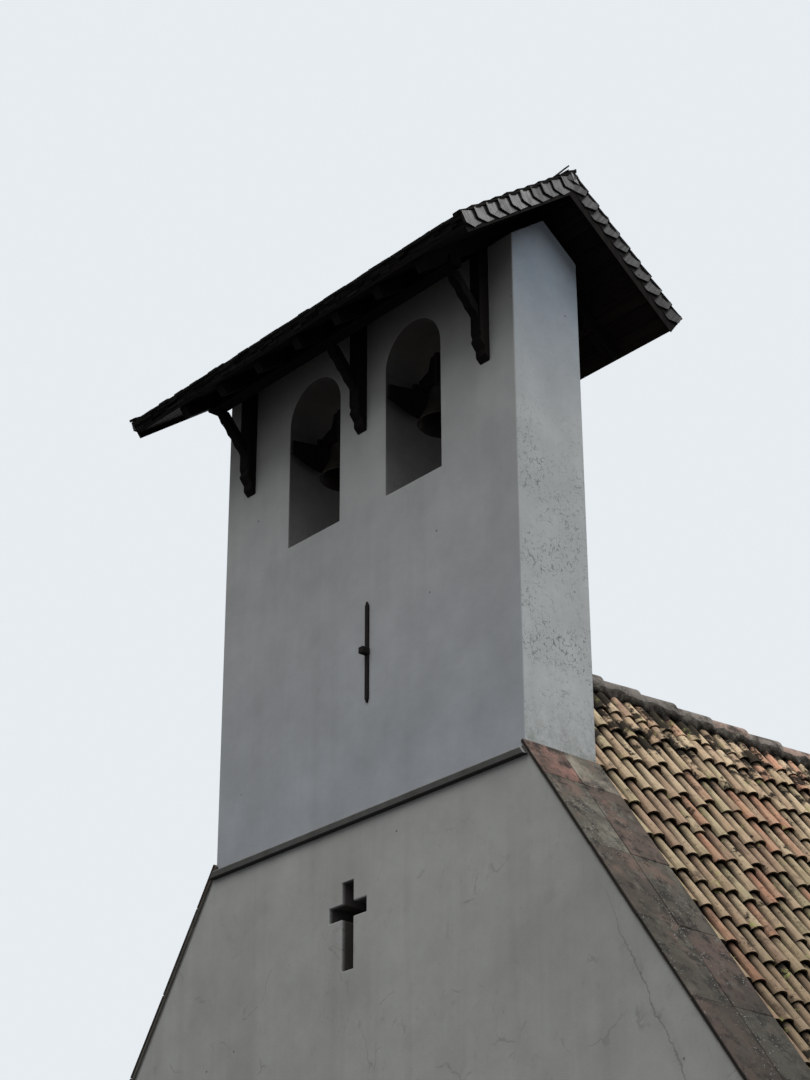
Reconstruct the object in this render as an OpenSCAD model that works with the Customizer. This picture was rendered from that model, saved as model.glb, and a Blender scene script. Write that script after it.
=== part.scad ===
// Small chapel with a gabled front that carries a shingled bell wall.
// Millimetres, +Z up. The origin is on the ground, at the middle of the plan.
// The front faces -Y. The bell wall stands on the front gable.

/* [Nave] */
// Outside width of the nave and of its gabled front
nave_w = 8000; // [7600:100:9000]
// Outside length of the nave, front face to rear face
nave_len = 10500; // [9500:100:12000]
// Thickness of the side walls and of the rear wall
wall_t = 500; // [400:10:600]
// Height of the floor above the ground
floor_h = 150; // [100:10:250]

/* [Front gable] */
// Height of the level on which the bell wall stands
shelf_z = 7700; // [7500:50:8200]
// Thickness of the gabled front and of the bell wall
front_t = 708; // [640:4:760]
// Slope of the gable, degrees
gable_slope = 56; // [54:1:58]
// Thickness of the coping slabs
coping_t = 45; // [35:5:60]
// How far the coping stands out over the wall faces
coping_lip = 32; // [20:2:50]
// Height of the string course
string_h = 85; // [70:5:110]
// How far the string course stands out
string_d = 50; // [35:5:70]

/* [Cross opening] */
// Height of the cross cut through the gable
cross_h = 680; // [600:10:760]
// Width across its arms
cross_w = 430; // [380:10:480]
// Width of the upright
cross_bar = 130; // [110:5:150]
// Height of the arms
cross_arm = 115; // [100:5:140]
// Sideways place of the upright, from the middle of the front
cross_x = -145; // [-300:5:300]
// Depth of its top below the shelf
cross_top = 515; // [450:5:700]

/* [Door] */
// Width of the doorway
door_w = 1400; // [1200:20:1500]
// Height of the doorway above the floor
door_h = 2250; // [2050:25:2400]
// Thickness of a door leaf
leaf_t = 50; // [40:5:60]
// Height of the beam over the doorway
lintel_h = 220; // [180:10:280]
// How far the beam reaches into the wall on each side
lintel_seat = 250; // [200:10:350]

/* [Nave windows] */
// Number of windows in each side wall
window_n = 3; // [2:1:3]
// Width of a window
window_w = 500; // [400:20:600]
// Height from its sill to the springing of its arch
window_h = 750; // [600:25:800]
// Height of the wall over the crown of a window's arch
window_cover = 640; // [560:10:700]
// Width of the frame's timber
frame_w = 55; // [40:5:70]
// Depth of the frame
frame_d = 70; // [50:5:90]
// Thickness of the pane
pane_t = 10; // [6:1:14]

/* [Nave roof] */
// Depth of the roof's top below the coping, square to the slope
roof_drop = 520; // [480:10:560]
// Thickness of the covering: boards, mortar and the mean height of the tiles
roof_t = 120; // [100:5:140]
// How far the eaves stand out from the side walls
eave_out = 350; // [250:10:450]
// How far the roof stands out over the rear gable
verge_out = 120; // [60:10:200]
// Radius of the ridge tiles
ridge_r = 120; // [105:5:140]
// Depth of the ridge tiles' middle below the peak of the roof's top
ridge_drop = 85; // [60:5:90]
// Depth of the nave rafters, square to the slope
nave_rafter_h = 140; // [120:5:160]
// Width of the nave rafters
nave_rafter_w = 100; // [80:5:120]
// Number of nave rafters on each slope
nave_rafter_n = 12; // [10:1:14]
// Width of the wall plates
plate_w = 160; // [140:5:180]
// Height of the wall plates
plate_h = 120; // [100:5:140]
// Depth of the notch that seats the nave rafters on the plates
plate_notch = 80; // [60:5:90]
// Thickness of the ridge board
ridge_board_t = 50; // [40:5:60]
// Height of the ridge board
ridge_board_h = 300; // [280:10:340]

/* [Bell wall] */
// Width of the bell wall
tower_w = 3600; // [3560:20:3700]
// Height of the opening sills above the shelf
sill_h = 2563; // [2400:20:2700]
// Width of a bell opening
bell_open_w = 660; // [640:5:680]
// Sideways place of the middle of an opening, from the middle of the wall
bell_x = 620; // [600:5:680]
// Height of the springing of the arches above the sills
spring_h = 1127; // [1115:2:1160]
// Height of the wall over the crowns of the arches, at its front edge
crown_cover = 269; // [250:2:320]

/* [Bell wall roof] */
// Pitch of the shingled roof, degrees
roof_pitch = 37; // [35:1:39]
// Length of one roof slope, ridge to eave
slope_len = 1510; // [1400:10:1600]
// Length of the roof along the ridge
tower_roof_w = 4260; // [4200:20:4400]
// Thickness of the layered shingles
shingle_t = 95; // [80:5:110]
// Thickness of the roof boards
deck_t = 25; // [20:1:30]
// Depth of the rafters
rafter_h = 110; // [90:5:130]
// Width of the rafters
rafter_w = 80; // [60:5:100]
// Number of rafters on each slope
rafter_n = 7; // [5:2:9]
// How far the front shingles stand up past the ridge
comb_len = 120; // [80:10:160]
// Thickness of that raised course
comb_t = 40; // [30:5:50]
// Thickness of the verge boards
verge_t = 30; // [25:1:40]
// Depth of the verge boards, square to the slope
verge_h = 195; // [170:5:210]
// How far the verge boards stand up over the shingles, square to the slope
verge_lip = 25; // [15:5:35]

/* [Brackets] */
// Sideways place of the outer brackets, from the middle of the wall
bracket_x = 1470; // [1440:10:1500]
// Width of a wall post
post_w = 115; // [100:5:130]
// Depth of a wall post
post_d = 98; // [85:1:120]
// Length of a wall post, from its foot to the top edge of the wall
post_len = 1039; // [980:10:1100]
// Width of a strut
strut_w = 78; // [66:2:90]
// Thickness of a strut
strut_t = 78; // [66:2:90]
// Depth of the scallops in the underside of a strut
scallop = 9; // [6:1:12]
// Height of a strut, from where it leaves its post to the eave beam
strut_rise = 350; // [310:10:390]
// Height of an eave beam
beam_h = 80; // [70:5:90]
// Depth of an eave beam, front to back
beam_d = 120; // [100:5:140]
// Distance from the wall to the near face of an eave beam
beam_gap = 310; // [290:5:330]
// Depth of the notch that seats the rafters on the eave beams
beam_notch = 65; // [55:1:70]

/* [Bells] */
// Depth of the swinging axis below the springing of the arches
axis_drop = 60; // [56:1:65]
// Radius of the bell's mouth
bell_r = 230; // [200:5:240]
// Height of the bell, mouth to shoulder
bell_h = 340; // [320:5:345]
// Radius of a gudgeon pin
pin_r = 20; // [16:1:24]
// Running clearance between a gudgeon pin and its bearing
pin_clear = 0.05; // [0.02:0.01:0.1]
// Depth of the headstock, front to back
stock_d = 120; // [100:5:140]
// Thickness of the ringing lever's board
lever_t = 30; // [24:1:36]
// Thickness of the iron straps
strap_t = 8; // [6:1:10]

/* [Wall anchor] */
// Length of the anchor bar
anchor_len = 860; // [700:10:1000]
// Width of the bar
anchor_w = 38; // [30:2:50]
// Thickness of the bar
anchor_t = 18; // [12:1:25]
// Sideways place of the bar
anchor_x = 78; // [0:2:160]
// Height of its middle above the shelf
anchor_h = 1280; // [1000:10:1400]

/* [Hidden] */

$fn = 64;
// Allowance that keeps a cutting tool clear of the face it cuts
cut = 10;
// Gap left over a curved head that sits in a curved opening
head_gap = 0.5;
// Gap left between sloping faces that rest on each other
bed_gap = 0.3;

y_front = -nave_len / 2;
y_rear = nave_len / 2;
y_back = y_front + front_t;
y_mid = y_front + front_t / 2;

// The coping's top meets the shelf a little outside the bell wall
shelf_half = tower_w / 2 + 27;

door_top = floor_h + door_h;
lintel_top = door_top + lintel_h;

// Height of a plane that lies a distance off below the coping's top
function gable_z(x, off) =
    shelf_z + (shelf_half - abs(x)) * tan(gable_slope) - off / cos(gable_slope);
function gable_x(z, off) =
    shelf_half + (shelf_z - z - off / cos(gable_slope)) / tan(gable_slope);

roof_under = roof_drop + roof_t + bed_gap;
rafter_under = roof_under + nave_rafter_h;
nave_ridge_z = gable_z(0, roof_drop);
plate_z = gable_z(nave_w / 2, rafter_under) + plate_notch - plate_h;
eave_x = nave_w / 2 + eave_out;

window_sill = plate_z - window_cover - window_w / 2 - window_h;

open_r = bell_open_w / 2;
sill_z = shelf_z + sill_h;
spring_z = sill_z + spring_h;
head_z = spring_z + open_r + crown_cover;

// The roof rests on the wall head, layer by layer
shed_under = deck_t + shingle_t;
tower_pack = shed_under + bed_gap + rafter_h;
head_rise = front_t / 2 * tan(roof_pitch);
tower_ridge_z = head_z + head_rise + (tower_pack + bed_gap) / cos(roof_pitch);
slope_run = slope_len * cos(roof_pitch);

// Height of a plane that lies a distance off below the shingles
function shed_z(y, off) =
    tower_ridge_z - abs(y) * tan(roof_pitch) - off / cos(roof_pitch);

// The eave beams' top lies in the rafters' notches
beam_reach = beam_gap + beam_d;
beam_top = shed_z(front_t / 2 + beam_reach, tower_pack) + beam_notch;

axis_z = spring_z - axis_drop;
stock_half = 230;
stock_low = 40;
stock_z = axis_z - stock_low;
stock_end_h = 110;
stock_mid_h = 260;
stock_mid_half = 115;
crown_h = 60;
crown_w = 130;
crown_t = 30;
bell_z = stock_z - crown_h - bell_h;
bearing_t = 35;
bearing_d = 130;
bearing_h = 55;
pin_end_gap = 12;
flange_t = 10;
flange_w = 70;

// Building blocks

// An outline in the XZ plane, made a solid from y0 to y1
module slab_xz(y0, y1) {
    translate([0, y1, 0])
        rotate([90, 0, 0])
            linear_extrude(height = y1 - y0)
                children();
}

// An outline in the YZ plane, made a solid from x0 to x1
module slab_yz(x0, x1) {
    translate([x0, 0, 0])
        rotate([90, 0, 90])
            linear_extrude(height = x1 - x0)
                children();
}

module box(low, high) {
    translate(low)
        cube(high - low);
}

// A round-headed opening, its foot at the origin
module round_head(w, h, less) {
    translate([-w / 2, 0])
        square([w, h]);
    translate([0, h])
        circle(r = w / 2 - less);
}

// Masonry of the nave and front

module floor_slab() {
    color("#8f8a80")
        box([-nave_w / 2 + wall_t, y_back, 0], [nave_w / 2 - wall_t, y_rear - wall_t, floor_h]);
}

module threshold() {
    color("#7d786f")
        box([-door_w / 2, y_front, 0], [door_w / 2, y_back, floor_h]);
}

module front_wall(side) {
    near = door_w / 2;
    far = nave_w / 2;
    seat = near + lintel_seat;
    color("#c9c8c4")
        slab_xz(y_front, y_back)
            polygon([
                [side * near, 0], [side * far, 0], [side * far, lintel_top],
                [side * seat, lintel_top], [side * seat, door_top], [side * near, door_top]
            ]);
}

module door_lintel() {
    color("#3b3029")
        box(
            [-door_w / 2 - lintel_seat, y_front, door_top],
            [door_w / 2 + lintel_seat, y_back, lintel_top]
        );
}

// Upright of the cross and its arms, as one outline
module cross_outline() {
    top = shelf_z - cross_top;
    arm_z = top - cross_h * 0.33;
    translate([cross_x - cross_bar / 2, top - cross_h])
        square([cross_bar, cross_h]);
    translate([cross_x - cross_w / 2, arm_z - cross_arm / 2])
        square([cross_w, cross_arm]);
}

module front_gable_wall() {
    far = nave_w / 2;
    half = tower_w / 2;
    bed = coping_t + bed_gap;
    color("#c9c8c4")
        slab_xz(y_front, y_back)
            difference() {
                polygon([
                    [-far, lintel_top], [far, lintel_top],
                    [far, gable_z(far, bed)], [half, gable_z(half, bed)],
                    [half, shelf_z], [-half, shelf_z],
                    [-half, gable_z(half, bed)], [-far, gable_z(far, bed)]
                ]);
                cross_outline();
            }
}

// Middle of each nave window, along the wall
window_step = (nave_len - front_t - wall_t) / window_n;
window_y = [for (i = [0 : window_n - 1]) y_back + window_step * (i + 0.5)];

module nave_wall(side) {
    out = nave_w / 2;
    in = out - wall_t;
    color("#c4c3bf")
        difference() {
            slab_xz(y_back, y_rear - wall_t)
                polygon([[side * in, 0], [side * out, 0], [side * out, plate_z], [side * in, plate_z]]);
            for (y = window_y)
                translate([0, y, window_sill])
                    slab_yz(side > 0 ? in - cut : -out - cut, side > 0 ? out + cut : -in + cut)
                        round_head(window_w, window_h, 0);
        }
}

module rear_wall() {
    far = nave_w / 2;
    color("#c4c3bf")
        slab_xz(y_rear - wall_t, y_rear)
            polygon([
                [-far, 0], [far, 0], [far, gable_z(far, roof_under)],
                [0, gable_z(0, roof_under)], [-far, gable_z(far, roof_under)]
            ]);
}

// Each frame stands in the middle of the wall's thickness
module window_frames() {
    mid = nave_w / 2 - wall_t / 2;
    color("#4a3a2e")
        for (side = [-1, 1], y = window_y)
            translate([side * mid, y, window_sill])
                slab_yz(-frame_d / 2, frame_d / 2)
                    difference() {
                        round_head(window_w, window_h, head_gap);
                        translate([0, frame_w])
                            round_head(window_w - 2 * frame_w, window_h - frame_w, 0);
                    }
}

module window_panes() {
    mid = nave_w / 2 - wall_t / 2;
    color("#9fb3bd", 0.5)
        for (side = [-1, 1], y = window_y)
            translate([side * mid, y, window_sill + frame_w])
                slab_yz(-pane_t / 2, pane_t / 2)
                    round_head(window_w - 2 * frame_w, window_h - frame_w, head_gap);
}

// The leaves stand open, back against the sides of the doorway
module door_leaves() {
    leaf_w = door_w / 2 - 40;
    foot_gap = 10;
    color("#4a3426")
        for (side = [-1, 1])
            translate([side > 0 ? door_w / 2 - leaf_t : -door_w / 2, y_front + 25, floor_h + foot_gap])
                cube([leaf_t, leaf_w, door_h - 2 * foot_gap]);
}

// Nave roof

module nave_roof(side) {
    low = roof_drop + roof_t;
    color("#a8794f")
        slab_xz(y_back, y_rear + verge_out)
            polygon([
                [0, nave_ridge_z], [side * eave_x, gable_z(eave_x, roof_drop)],
                [side * eave_x, gable_z(eave_x, low)], [0, gable_z(0, low)]
            ]);
}

module plate_shape(side) {
    out = nave_w / 2;
    slab_xz(y_back, y_rear - wall_t)
        polygon([
            [side * (out - plate_w), plate_z], [side * out, plate_z],
            [side * out, plate_z + plate_h], [side * (out - plate_w), plate_z + plate_h]
        ]);
}

// A plate on each side wall, and the board against which the rafters meet
module roof_beams() {
    half = ridge_board_t / 2;
    low = gable_z(0, roof_under) - ridge_board_h;
    color("#4c3f34") {
        for (side = [-1, 1])
            plate_shape(side);
        slab_xz(y_back, y_rear - wall_t)
            polygon([
                [-half, low], [half, low], [half, gable_z(half, roof_under)],
                [0, gable_z(0, roof_under)], [-half, gable_z(half, roof_under)]
            ]);
    }
}

// Rafters stand from the front gable to the rear one, notched over the plates
module nave_rafters() {
    top = ridge_board_t / 2;
    foot = eave_x - 40;
    first = y_back + nave_rafter_w / 2;
    step = (nave_len - front_t - wall_t - nave_rafter_w) / (nave_rafter_n - 1);
    color("#54463a")
        for (side = [-1, 1])
            difference() {
                for (i = [0 : nave_rafter_n - 1])
                    slab_xz(first + i * step - nave_rafter_w / 2, first + i * step + nave_rafter_w / 2)
                        polygon([
                            [side * top, gable_z(top, roof_under)],
                            [side * foot, gable_z(foot, roof_under)],
                            [side * foot, gable_z(foot, rafter_under)],
                            [side * top, gable_z(top, rafter_under)]
                        ]);
                plate_shape(side);
            }
}

// Half-round ridge tiles, bedded on both slopes
module nave_ridge() {
    bed = roof_drop - bed_gap;
    wide = ridge_r * 2;
    color("#9a6b48")
        slab_xz(y_back, y_rear + verge_out)
            difference() {
                translate([0, nave_ridge_z - ridge_drop])
                    circle(r = ridge_r);
                polygon([
                    [0, gable_z(0, bed)], [wide, gable_z(wide, bed)],
                    [wide, nave_ridge_z - ridge_r * 5], [-wide, nave_ridge_z - ridge_r * 5],
                    [-wide, gable_z(wide, bed)]
                ]);
            }
}

// Coping and string course

module coping(side) {
    top = tower_w / 2;
    foot = nave_w / 2 + coping_lip * 2;
    color("#8d6f60")
        slab_xz(y_front - coping_lip, y_back + coping_lip)
            polygon([
                [side * top, gable_z(top, 0)], [side * foot, gable_z(foot, 0)],
                [side * foot, gable_z(foot, coping_t)], [side * top, gable_z(top, coping_t)]
            ]);
}

module string_course() {
    low = shelf_z - string_h;
    bed = coping_t + bed_gap;
    bevel = 30;
    color("#b9b7b0")
        intersection() {
            slab_yz(-nave_w / 2, nave_w / 2)
                polygon([
                    [y_front, low], [y_front - string_d, low],
                    [y_front - string_d, shelf_z - bevel], [y_front, shelf_z]
                ]);
            slab_xz(y_front - string_d - cut, y_front + cut)
                polygon([
                    [-gable_x(low - cut, bed), low - cut],
                    [gable_x(low - cut, bed), low - cut],
                    [gable_x(shelf_z + cut, bed), shelf_z + cut],
                    [-gable_x(shelf_z + cut, bed), shelf_z + cut]
                ]);
        }
}

// Flat bar with pointed ends, and the key that draws it tight
module wall_anchor() {
    half = anchor_len / 2;
    key = 52;
    key_out = 75;
    color("#2b2927")
        translate([anchor_x, 0, shelf_z + anchor_h]) {
            slab_xz(y_front - anchor_t, y_front)
                polygon([
                    [0, -half], [anchor_w / 2, -half + anchor_w], [anchor_w / 2, half - anchor_w],
                    [0, half], [-anchor_w / 2, half - anchor_w], [-anchor_w / 2, -half + anchor_w]
                ]);
            box([-key / 2, y_front - key_out, -key / 2], [key / 2, y_front, key / 2]);
        }
}

// Bell wall

module wall_block(x0, x1, z0, z1) {
    color("#cfcfcc")
        box([x0, y_front, z0], [x1, y_back, z1]);
}

module bell_wall_base() {
    wall_block(-tower_w / 2, tower_w / 2, shelf_z, sill_z);
}

module bell_pier_left() {
    wall_block(-tower_w / 2, -bell_x - open_r, sill_z, spring_z);
}

module bell_pier_middle() {
    wall_block(-bell_x + open_r, bell_x - open_r, sill_z, spring_z);
}

module bell_pier_right() {
    wall_block(bell_x + open_r, tower_w / 2, sill_z, spring_z);
}

// Both arches are cut from the gabled head of the wall
module bell_wall_head() {
    color("#cfcfcc")
        difference() {
            slab_yz(-tower_w / 2, tower_w / 2)
                polygon([
                    [y_front, spring_z], [y_front, head_z], [y_mid, head_z + head_rise],
                    [y_back, head_z], [y_back, spring_z]
                ]);
            for (side = [-1, 1])
                translate([side * bell_x, y_mid, spring_z])
                    rotate([90, 0, 0])
                        cylinder(r = open_r, h = front_t + 2 * cut, center = true);
        }
}

// Brackets, one row on the front and one on the rear

bracket_places = [-bracket_x, 0, bracket_x];

// Stands a bracket piece on the front, or turned round on the rear
module on_face(front) {
    translate([0, y_mid, 0])
        rotate([0, 0, front ? 0 : 180])
            translate([0, -front_t / 2, 0])
                children();
}

// Side outline of a post, with a stepped and bevelled foot
module post_outline() {
    foot = head_z - post_len;
    polygon([
        [0, foot], [-post_d / 2, foot + 45], [-post_d / 2, foot + 100],
        [-post_d, foot + 160], [-post_d + 14, foot + 205], [-post_d, foot + 235],
        [-post_d, shed_z(front_t / 2 + post_d, tower_pack + bed_gap)], [0, head_z]
    ]);
}

// The strut's underside is cut with a row of shallow scallops
module strut_outline() {
    y0 = -post_d;
    y1 = -beam_reach + beam_d / 4;
    z1 = beam_top - beam_h;
    z0 = z1 - strut_rise;
    length = norm([y1 - y0, z1 - z0]);
    angle = atan2(z1 - z0, y1 - y0);
    bites = 4;
    bite_half = length / bites * 0.42;
    bite_r = (bite_half * bite_half + scallop * scallop) / (2 * scallop);
    difference() {
        polygon([
            [y0, z0], [y1, z1], [y1 + strut_t / sin(angle), z1], [y0, z0 - strut_t / cos(angle)]
        ]);
        translate([y0, z0])
            rotate(angle)
                for (i = [0 : bites - 1])
                    translate([(i + 0.5) * length / bites, bite_r - scallop])
                        circle(r = bite_r);
    }
}

module wall_posts() {
    color("#2e2621")
        for (front = [true, false], x = bracket_places)
            on_face(front)
                slab_yz(x - post_w / 2, x + post_w / 2)
                    post_outline();
}

module bracket_struts() {
    color("#2e2621")
        for (front = [true, false], x = bracket_places)
            on_face(front)
                slab_yz(x - strut_w / 2, x + strut_w / 2)
                    strut_outline();
}

module eave_beam_shape() {
    reach = bracket_x + post_w / 2 + 30;
    box([-reach, -beam_reach, beam_top - beam_h], [reach, -beam_gap, beam_top]);
}

module eave_beams() {
    color("#2e2621")
        for (front = [true, false])
            on_face(front)
                eave_beam_shape();
}

// Roof of the bell wall

rafter_reach = 40;
rafter_step = 2 * (bracket_x + 30) / (rafter_n - 1);

// One slope's layer between two depths, from the ridge line out to the eave
module shed_outline(off0, off1, short) {
    run = slope_run - short;
    lean = sin(roof_pitch);
    polygon([
        [0, shed_z(0, off0)],
        [-run + off0 * lean, shed_z(run - off0 * lean, off0)],
        [-run + off1 * lean, shed_z(run - off1 * lean, off1)],
        [0, shed_z(0, off1)]
    ]);
}

// Rafters are notched over the eave beam
module rafters(front) {
    color("#2e2621")
        on_face(front)
            for (i = [0 : rafter_n - 1])
                difference() {
                    translate([-(rafter_n - 1) / 2 * rafter_step + i * rafter_step, front_t / 2, 0])
                        slab_yz(-rafter_w / 2, rafter_w / 2)
                            shed_outline(shed_under + bed_gap, tower_pack, rafter_reach);
                    eave_beam_shape();
                }
}

// The front shingles run on past the ridge as a raised course
module tower_roof_front() {
    lean = sin(roof_pitch);
    run = slope_run;
    under = shed_under;
    rise = tan(roof_pitch);
    tip_y = comb_len * cos(roof_pitch);
    comb_v = comb_t / cos(roof_pitch);
    comb_y = comb_t * lean;
    color("#6f6c69")
        translate([0, y_mid, 0])
            slab_yz(-tower_roof_w / 2 + verge_t, tower_roof_w / 2 - verge_t)
                polygon([
                    [tip_y, tower_ridge_z + tip_y * rise],
                    [-run, shed_z(run, 0)],
                    [-run + under * lean, shed_z(run - under * lean, under)],
                    [0, shed_z(0, under)],
                    [0, tower_ridge_z - comb_v],
                    [tip_y + comb_y, tower_ridge_z + (tip_y + comb_y) * rise - comb_v]
                ]);
}

module tower_roof_rear() {
    lean = sin(roof_pitch);
    run = slope_run;
    under = shed_under;
    comb_v = (comb_t + bed_gap) / cos(roof_pitch);
    // The raised course crosses the rear slope here
    meet_y = comb_v / 2 / tan(roof_pitch);
    color("#6f6c69")
        translate([0, y_mid, 0])
            slab_yz(-tower_roof_w / 2 + verge_t, tower_roof_w / 2 - verge_t)
                polygon([
                    [0, tower_ridge_z - comb_v],
                    [meet_y, shed_z(meet_y, 0)],
                    [run, shed_z(run, 0)],
                    [run - under * lean, shed_z(run - under * lean, under)],
                    [0, shed_z(0, under)]
                ]);
}

module verge_boards() {
    color("#55504b")
        translate([0, y_mid, 0])
            for (x0 = [-tower_roof_w / 2, tower_roof_w / 2 - verge_t])
                slab_yz(x0, x0 + verge_t) {
                    shed_outline(-verge_lip, verge_h - verge_lip, 0);
                    mirror([1, 0])
                        shed_outline(-verge_lip, verge_h - verge_lip, 0);
                }
}

// Bells and what they hang from

// Bearing blocks stand on the sides of both openings
module bell_bearings() {
    color("#33302d")
        for (cx = [-bell_x, bell_x], side = [-1, 1])
            translate([cx + side * (open_r - bearing_t / 2), y_mid, axis_z])
                difference() {
                    box(
                        [-bearing_t / 2, -bearing_d / 2, -bearing_h],
                        [bearing_t / 2, bearing_d / 2, bearing_h]
                    );
                    rotate([0, 90, 0])
                        cylinder(r = pin_r + pin_clear, h = bearing_t + 2 * cut, center = true);
                }
}

// Revolved outline, lip at the foot and a flat crown at the head
module bell_shell(cx) {
    h = bell_h;
    r = bell_r;
    color("#6d5a35")
        translate([cx, y_mid, bell_z]) {
            rotate_extrude($fn = 96)
                polygon([
                    [r - 10, 0], [r, 12], [r * 0.96, h * 0.1], [r * 0.84, h * 0.24],
                    [r * 0.72, h * 0.42], [r * 0.64, h * 0.62], [r * 0.59, h * 0.82],
                    [r * 0.54, h * 0.93], [r * 0.42, h], [0, h],
                    [0, h - crown_t], [r * 0.36, h - crown_t], [r * 0.46, h * 0.86],
                    [r * 0.52, h * 0.72], [r * 0.57, h * 0.56], [r * 0.64, h * 0.38],
                    [r * 0.75, h * 0.2], [r * 0.88, h * 0.06]
                ]);
            box([-crown_w / 2, -stock_d / 2, h], [crown_w / 2, stock_d / 2, h + crown_h]);
        }
}

module clapper(cx) {
    rod_r = 11;
    ball_r = 38;
    ball_z = 28;
    tail_z = -38;
    color("#3a3532")
        translate([cx, y_mid, bell_z])
            rotate_extrude($fn = 48)
                polygon([
                    [0, tail_z], [rod_r, tail_z], [rod_r + 4, ball_z - ball_r * 0.9],
                    [ball_r, ball_z - ball_r * 0.35], [ball_r, ball_z + ball_r * 0.35],
                    [rod_r, ball_z + ball_r], [rod_r, bell_h - crown_t], [0, bell_h - crown_t]
                ]);
}

module headstock(cx) {
    color("#3a2e26")
        translate([cx, 0, stock_z])
            slab_xz(y_mid - stock_d / 2, y_mid + stock_d / 2)
                polygon([
                    [-stock_half, 0], [stock_half, 0], [stock_half, stock_end_h],
                    [stock_mid_half + 30, stock_end_h + 30], [stock_mid_half, stock_mid_h],
                    [-stock_mid_half, stock_mid_h], [-stock_mid_half - 30, stock_end_h + 30],
                    [-stock_half, stock_end_h]
                ]);
}

// Two straps over the headstock, and a gudgeon pin with a flange at each end
module bell_irons(cx) {
    strap_w = 36;
    strap_x = 40;
    half_d = stock_d / 2;
    low = -crown_h + 8;
    left_x = -stock_half - lever_t;
    pin_far = open_r - pin_end_gap;
    color("#2b2927")
        translate([cx, y_mid, stock_z]) {
            for (x = [-strap_x, strap_x])
                difference() {
                    box(
                        [x - strap_w / 2, -half_d - strap_t, low],
                        [x + strap_w / 2, half_d + strap_t, stock_mid_h + strap_t]
                    );
                    box([x - strap_w, -half_d, low - cut], [x + strap_w, half_d, stock_mid_h]);
                }
            translate([0, 0, stock_low]) {
                box([stock_half, -flange_w / 2, -flange_w / 2], [stock_half + flange_t, flange_w / 2, flange_w / 2]);
                box([left_x - flange_t, -flange_w / 2, -flange_w / 2], [left_x, flange_w / 2, flange_w / 2]);
                translate([stock_half, 0, 0])
                    rotate([0, 90, 0])
                        cylinder(r = pin_r, h = pin_far - stock_half);
                translate([-pin_far, 0, 0])
                    rotate([0, 90, 0])
                        cylinder(r = pin_r, h = pin_far + left_x);
            }
        }
}

// Board on the headstock's end that reaches forward for the bell rope
module ring_lever(cx) {
    reach = front_t / 2 + 42;
    x1 = cx - stock_half;
    color("#3a2e26")
        translate([0, y_mid, axis_z])
            slab_yz(x1 - lever_t, x1)
                polygon([
                    [-reach, -225], [-reach, -105], [-stock_d / 2, -45], [-stock_d / 2, 60],
                    [stock_d / 2, 60], [stock_d / 2, -150], [-25, -300], [-150, -292]
                ]);
}

floor_slab();
threshold();
door_leaves();
door_lintel();
front_wall(-1);  // front_wall_left
front_wall(1);  // front_wall_right
front_gable_wall();
nave_wall(-1);  // nave_wall_left
nave_wall(1);  // nave_wall_right
rear_wall();
window_frames();
window_panes();
nave_roof(-1);  // nave_roof_left
nave_roof(1);  // nave_roof_right
nave_ridge();
roof_beams();
nave_rafters();
coping(-1);  // coping_left
coping(1);  // coping_right
string_course();
wall_anchor();
bell_wall_base();
bell_pier_left();
bell_pier_middle();
bell_pier_right();
bell_wall_head();
wall_posts();
bracket_struts();
eave_beams();
rafters(true);  // rafters_front
rafters(false);  // rafters_rear
tower_roof_front();
tower_roof_rear();
verge_boards();
bell_bearings();
bell_shell(-bell_x);  // bell_left
clapper(-bell_x);  // clapper_left
headstock(-bell_x);  // headstock_left
bell_irons(-bell_x);  // bell_irons_left
ring_lever(-bell_x);  // lever_left
bell_shell(bell_x);  // bell_right
clapper(bell_x);  // clapper_right
headstock(bell_x);  // headstock_right
bell_irons(bell_x);  // bell_irons_right
ring_lever(bell_x);  // lever_right
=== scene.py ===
# %% [markdown]
# # A small chapel
#
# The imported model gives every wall, beam and bell its exact place. This lesson dresses it: plaster with
# rounded edges, barrel tiles, clay coping slabs, wooden shingles, planks, bells and iron. Most pieces are
# arrays worked out with numpy: first one small shape, then a few hundred copies of it, each a bit different.

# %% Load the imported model
import itertools

import bpy
import numpy as np
from mathutils import Matrix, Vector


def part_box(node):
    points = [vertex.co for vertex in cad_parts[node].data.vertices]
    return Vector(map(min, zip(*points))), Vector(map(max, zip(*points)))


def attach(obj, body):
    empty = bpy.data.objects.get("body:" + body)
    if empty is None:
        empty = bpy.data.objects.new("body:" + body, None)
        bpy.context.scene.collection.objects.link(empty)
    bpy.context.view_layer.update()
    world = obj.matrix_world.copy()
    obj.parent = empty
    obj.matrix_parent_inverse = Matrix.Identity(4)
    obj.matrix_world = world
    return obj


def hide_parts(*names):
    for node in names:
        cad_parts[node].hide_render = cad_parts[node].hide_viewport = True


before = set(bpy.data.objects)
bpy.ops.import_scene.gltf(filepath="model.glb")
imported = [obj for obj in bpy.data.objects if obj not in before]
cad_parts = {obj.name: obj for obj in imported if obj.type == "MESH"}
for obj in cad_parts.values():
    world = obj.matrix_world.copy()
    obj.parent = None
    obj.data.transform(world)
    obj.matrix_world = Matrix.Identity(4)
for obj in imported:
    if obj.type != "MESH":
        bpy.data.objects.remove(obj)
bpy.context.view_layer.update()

# %% [markdown]
# ## Sizes
#
# A building has a few lines on which everything else hangs: the faces of the bell wall, the level on which it
# stands, and the two ridges. They could be typed in, but reading them from the model's own boxes keeps the
# looks in step with it. Only the slopes and thicknesses, which no box shows, are written down here.

# %% Read the main lines from the model
base_low, base_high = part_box("bell_wall_base")
FRONT_Y, BACK_Y, WALL_X, SHELF_Z = base_low.y, base_high.y, base_high.x, base_low.z
MID_Y = (FRONT_Y + BACK_Y) / 2
NAVE_EAVE_X, NAVE_END_Y, NAVE_RIDGE_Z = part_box("nave_roof_right")[1]
SHED_HALF, _, verge_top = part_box("verge_boards")[1]

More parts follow.
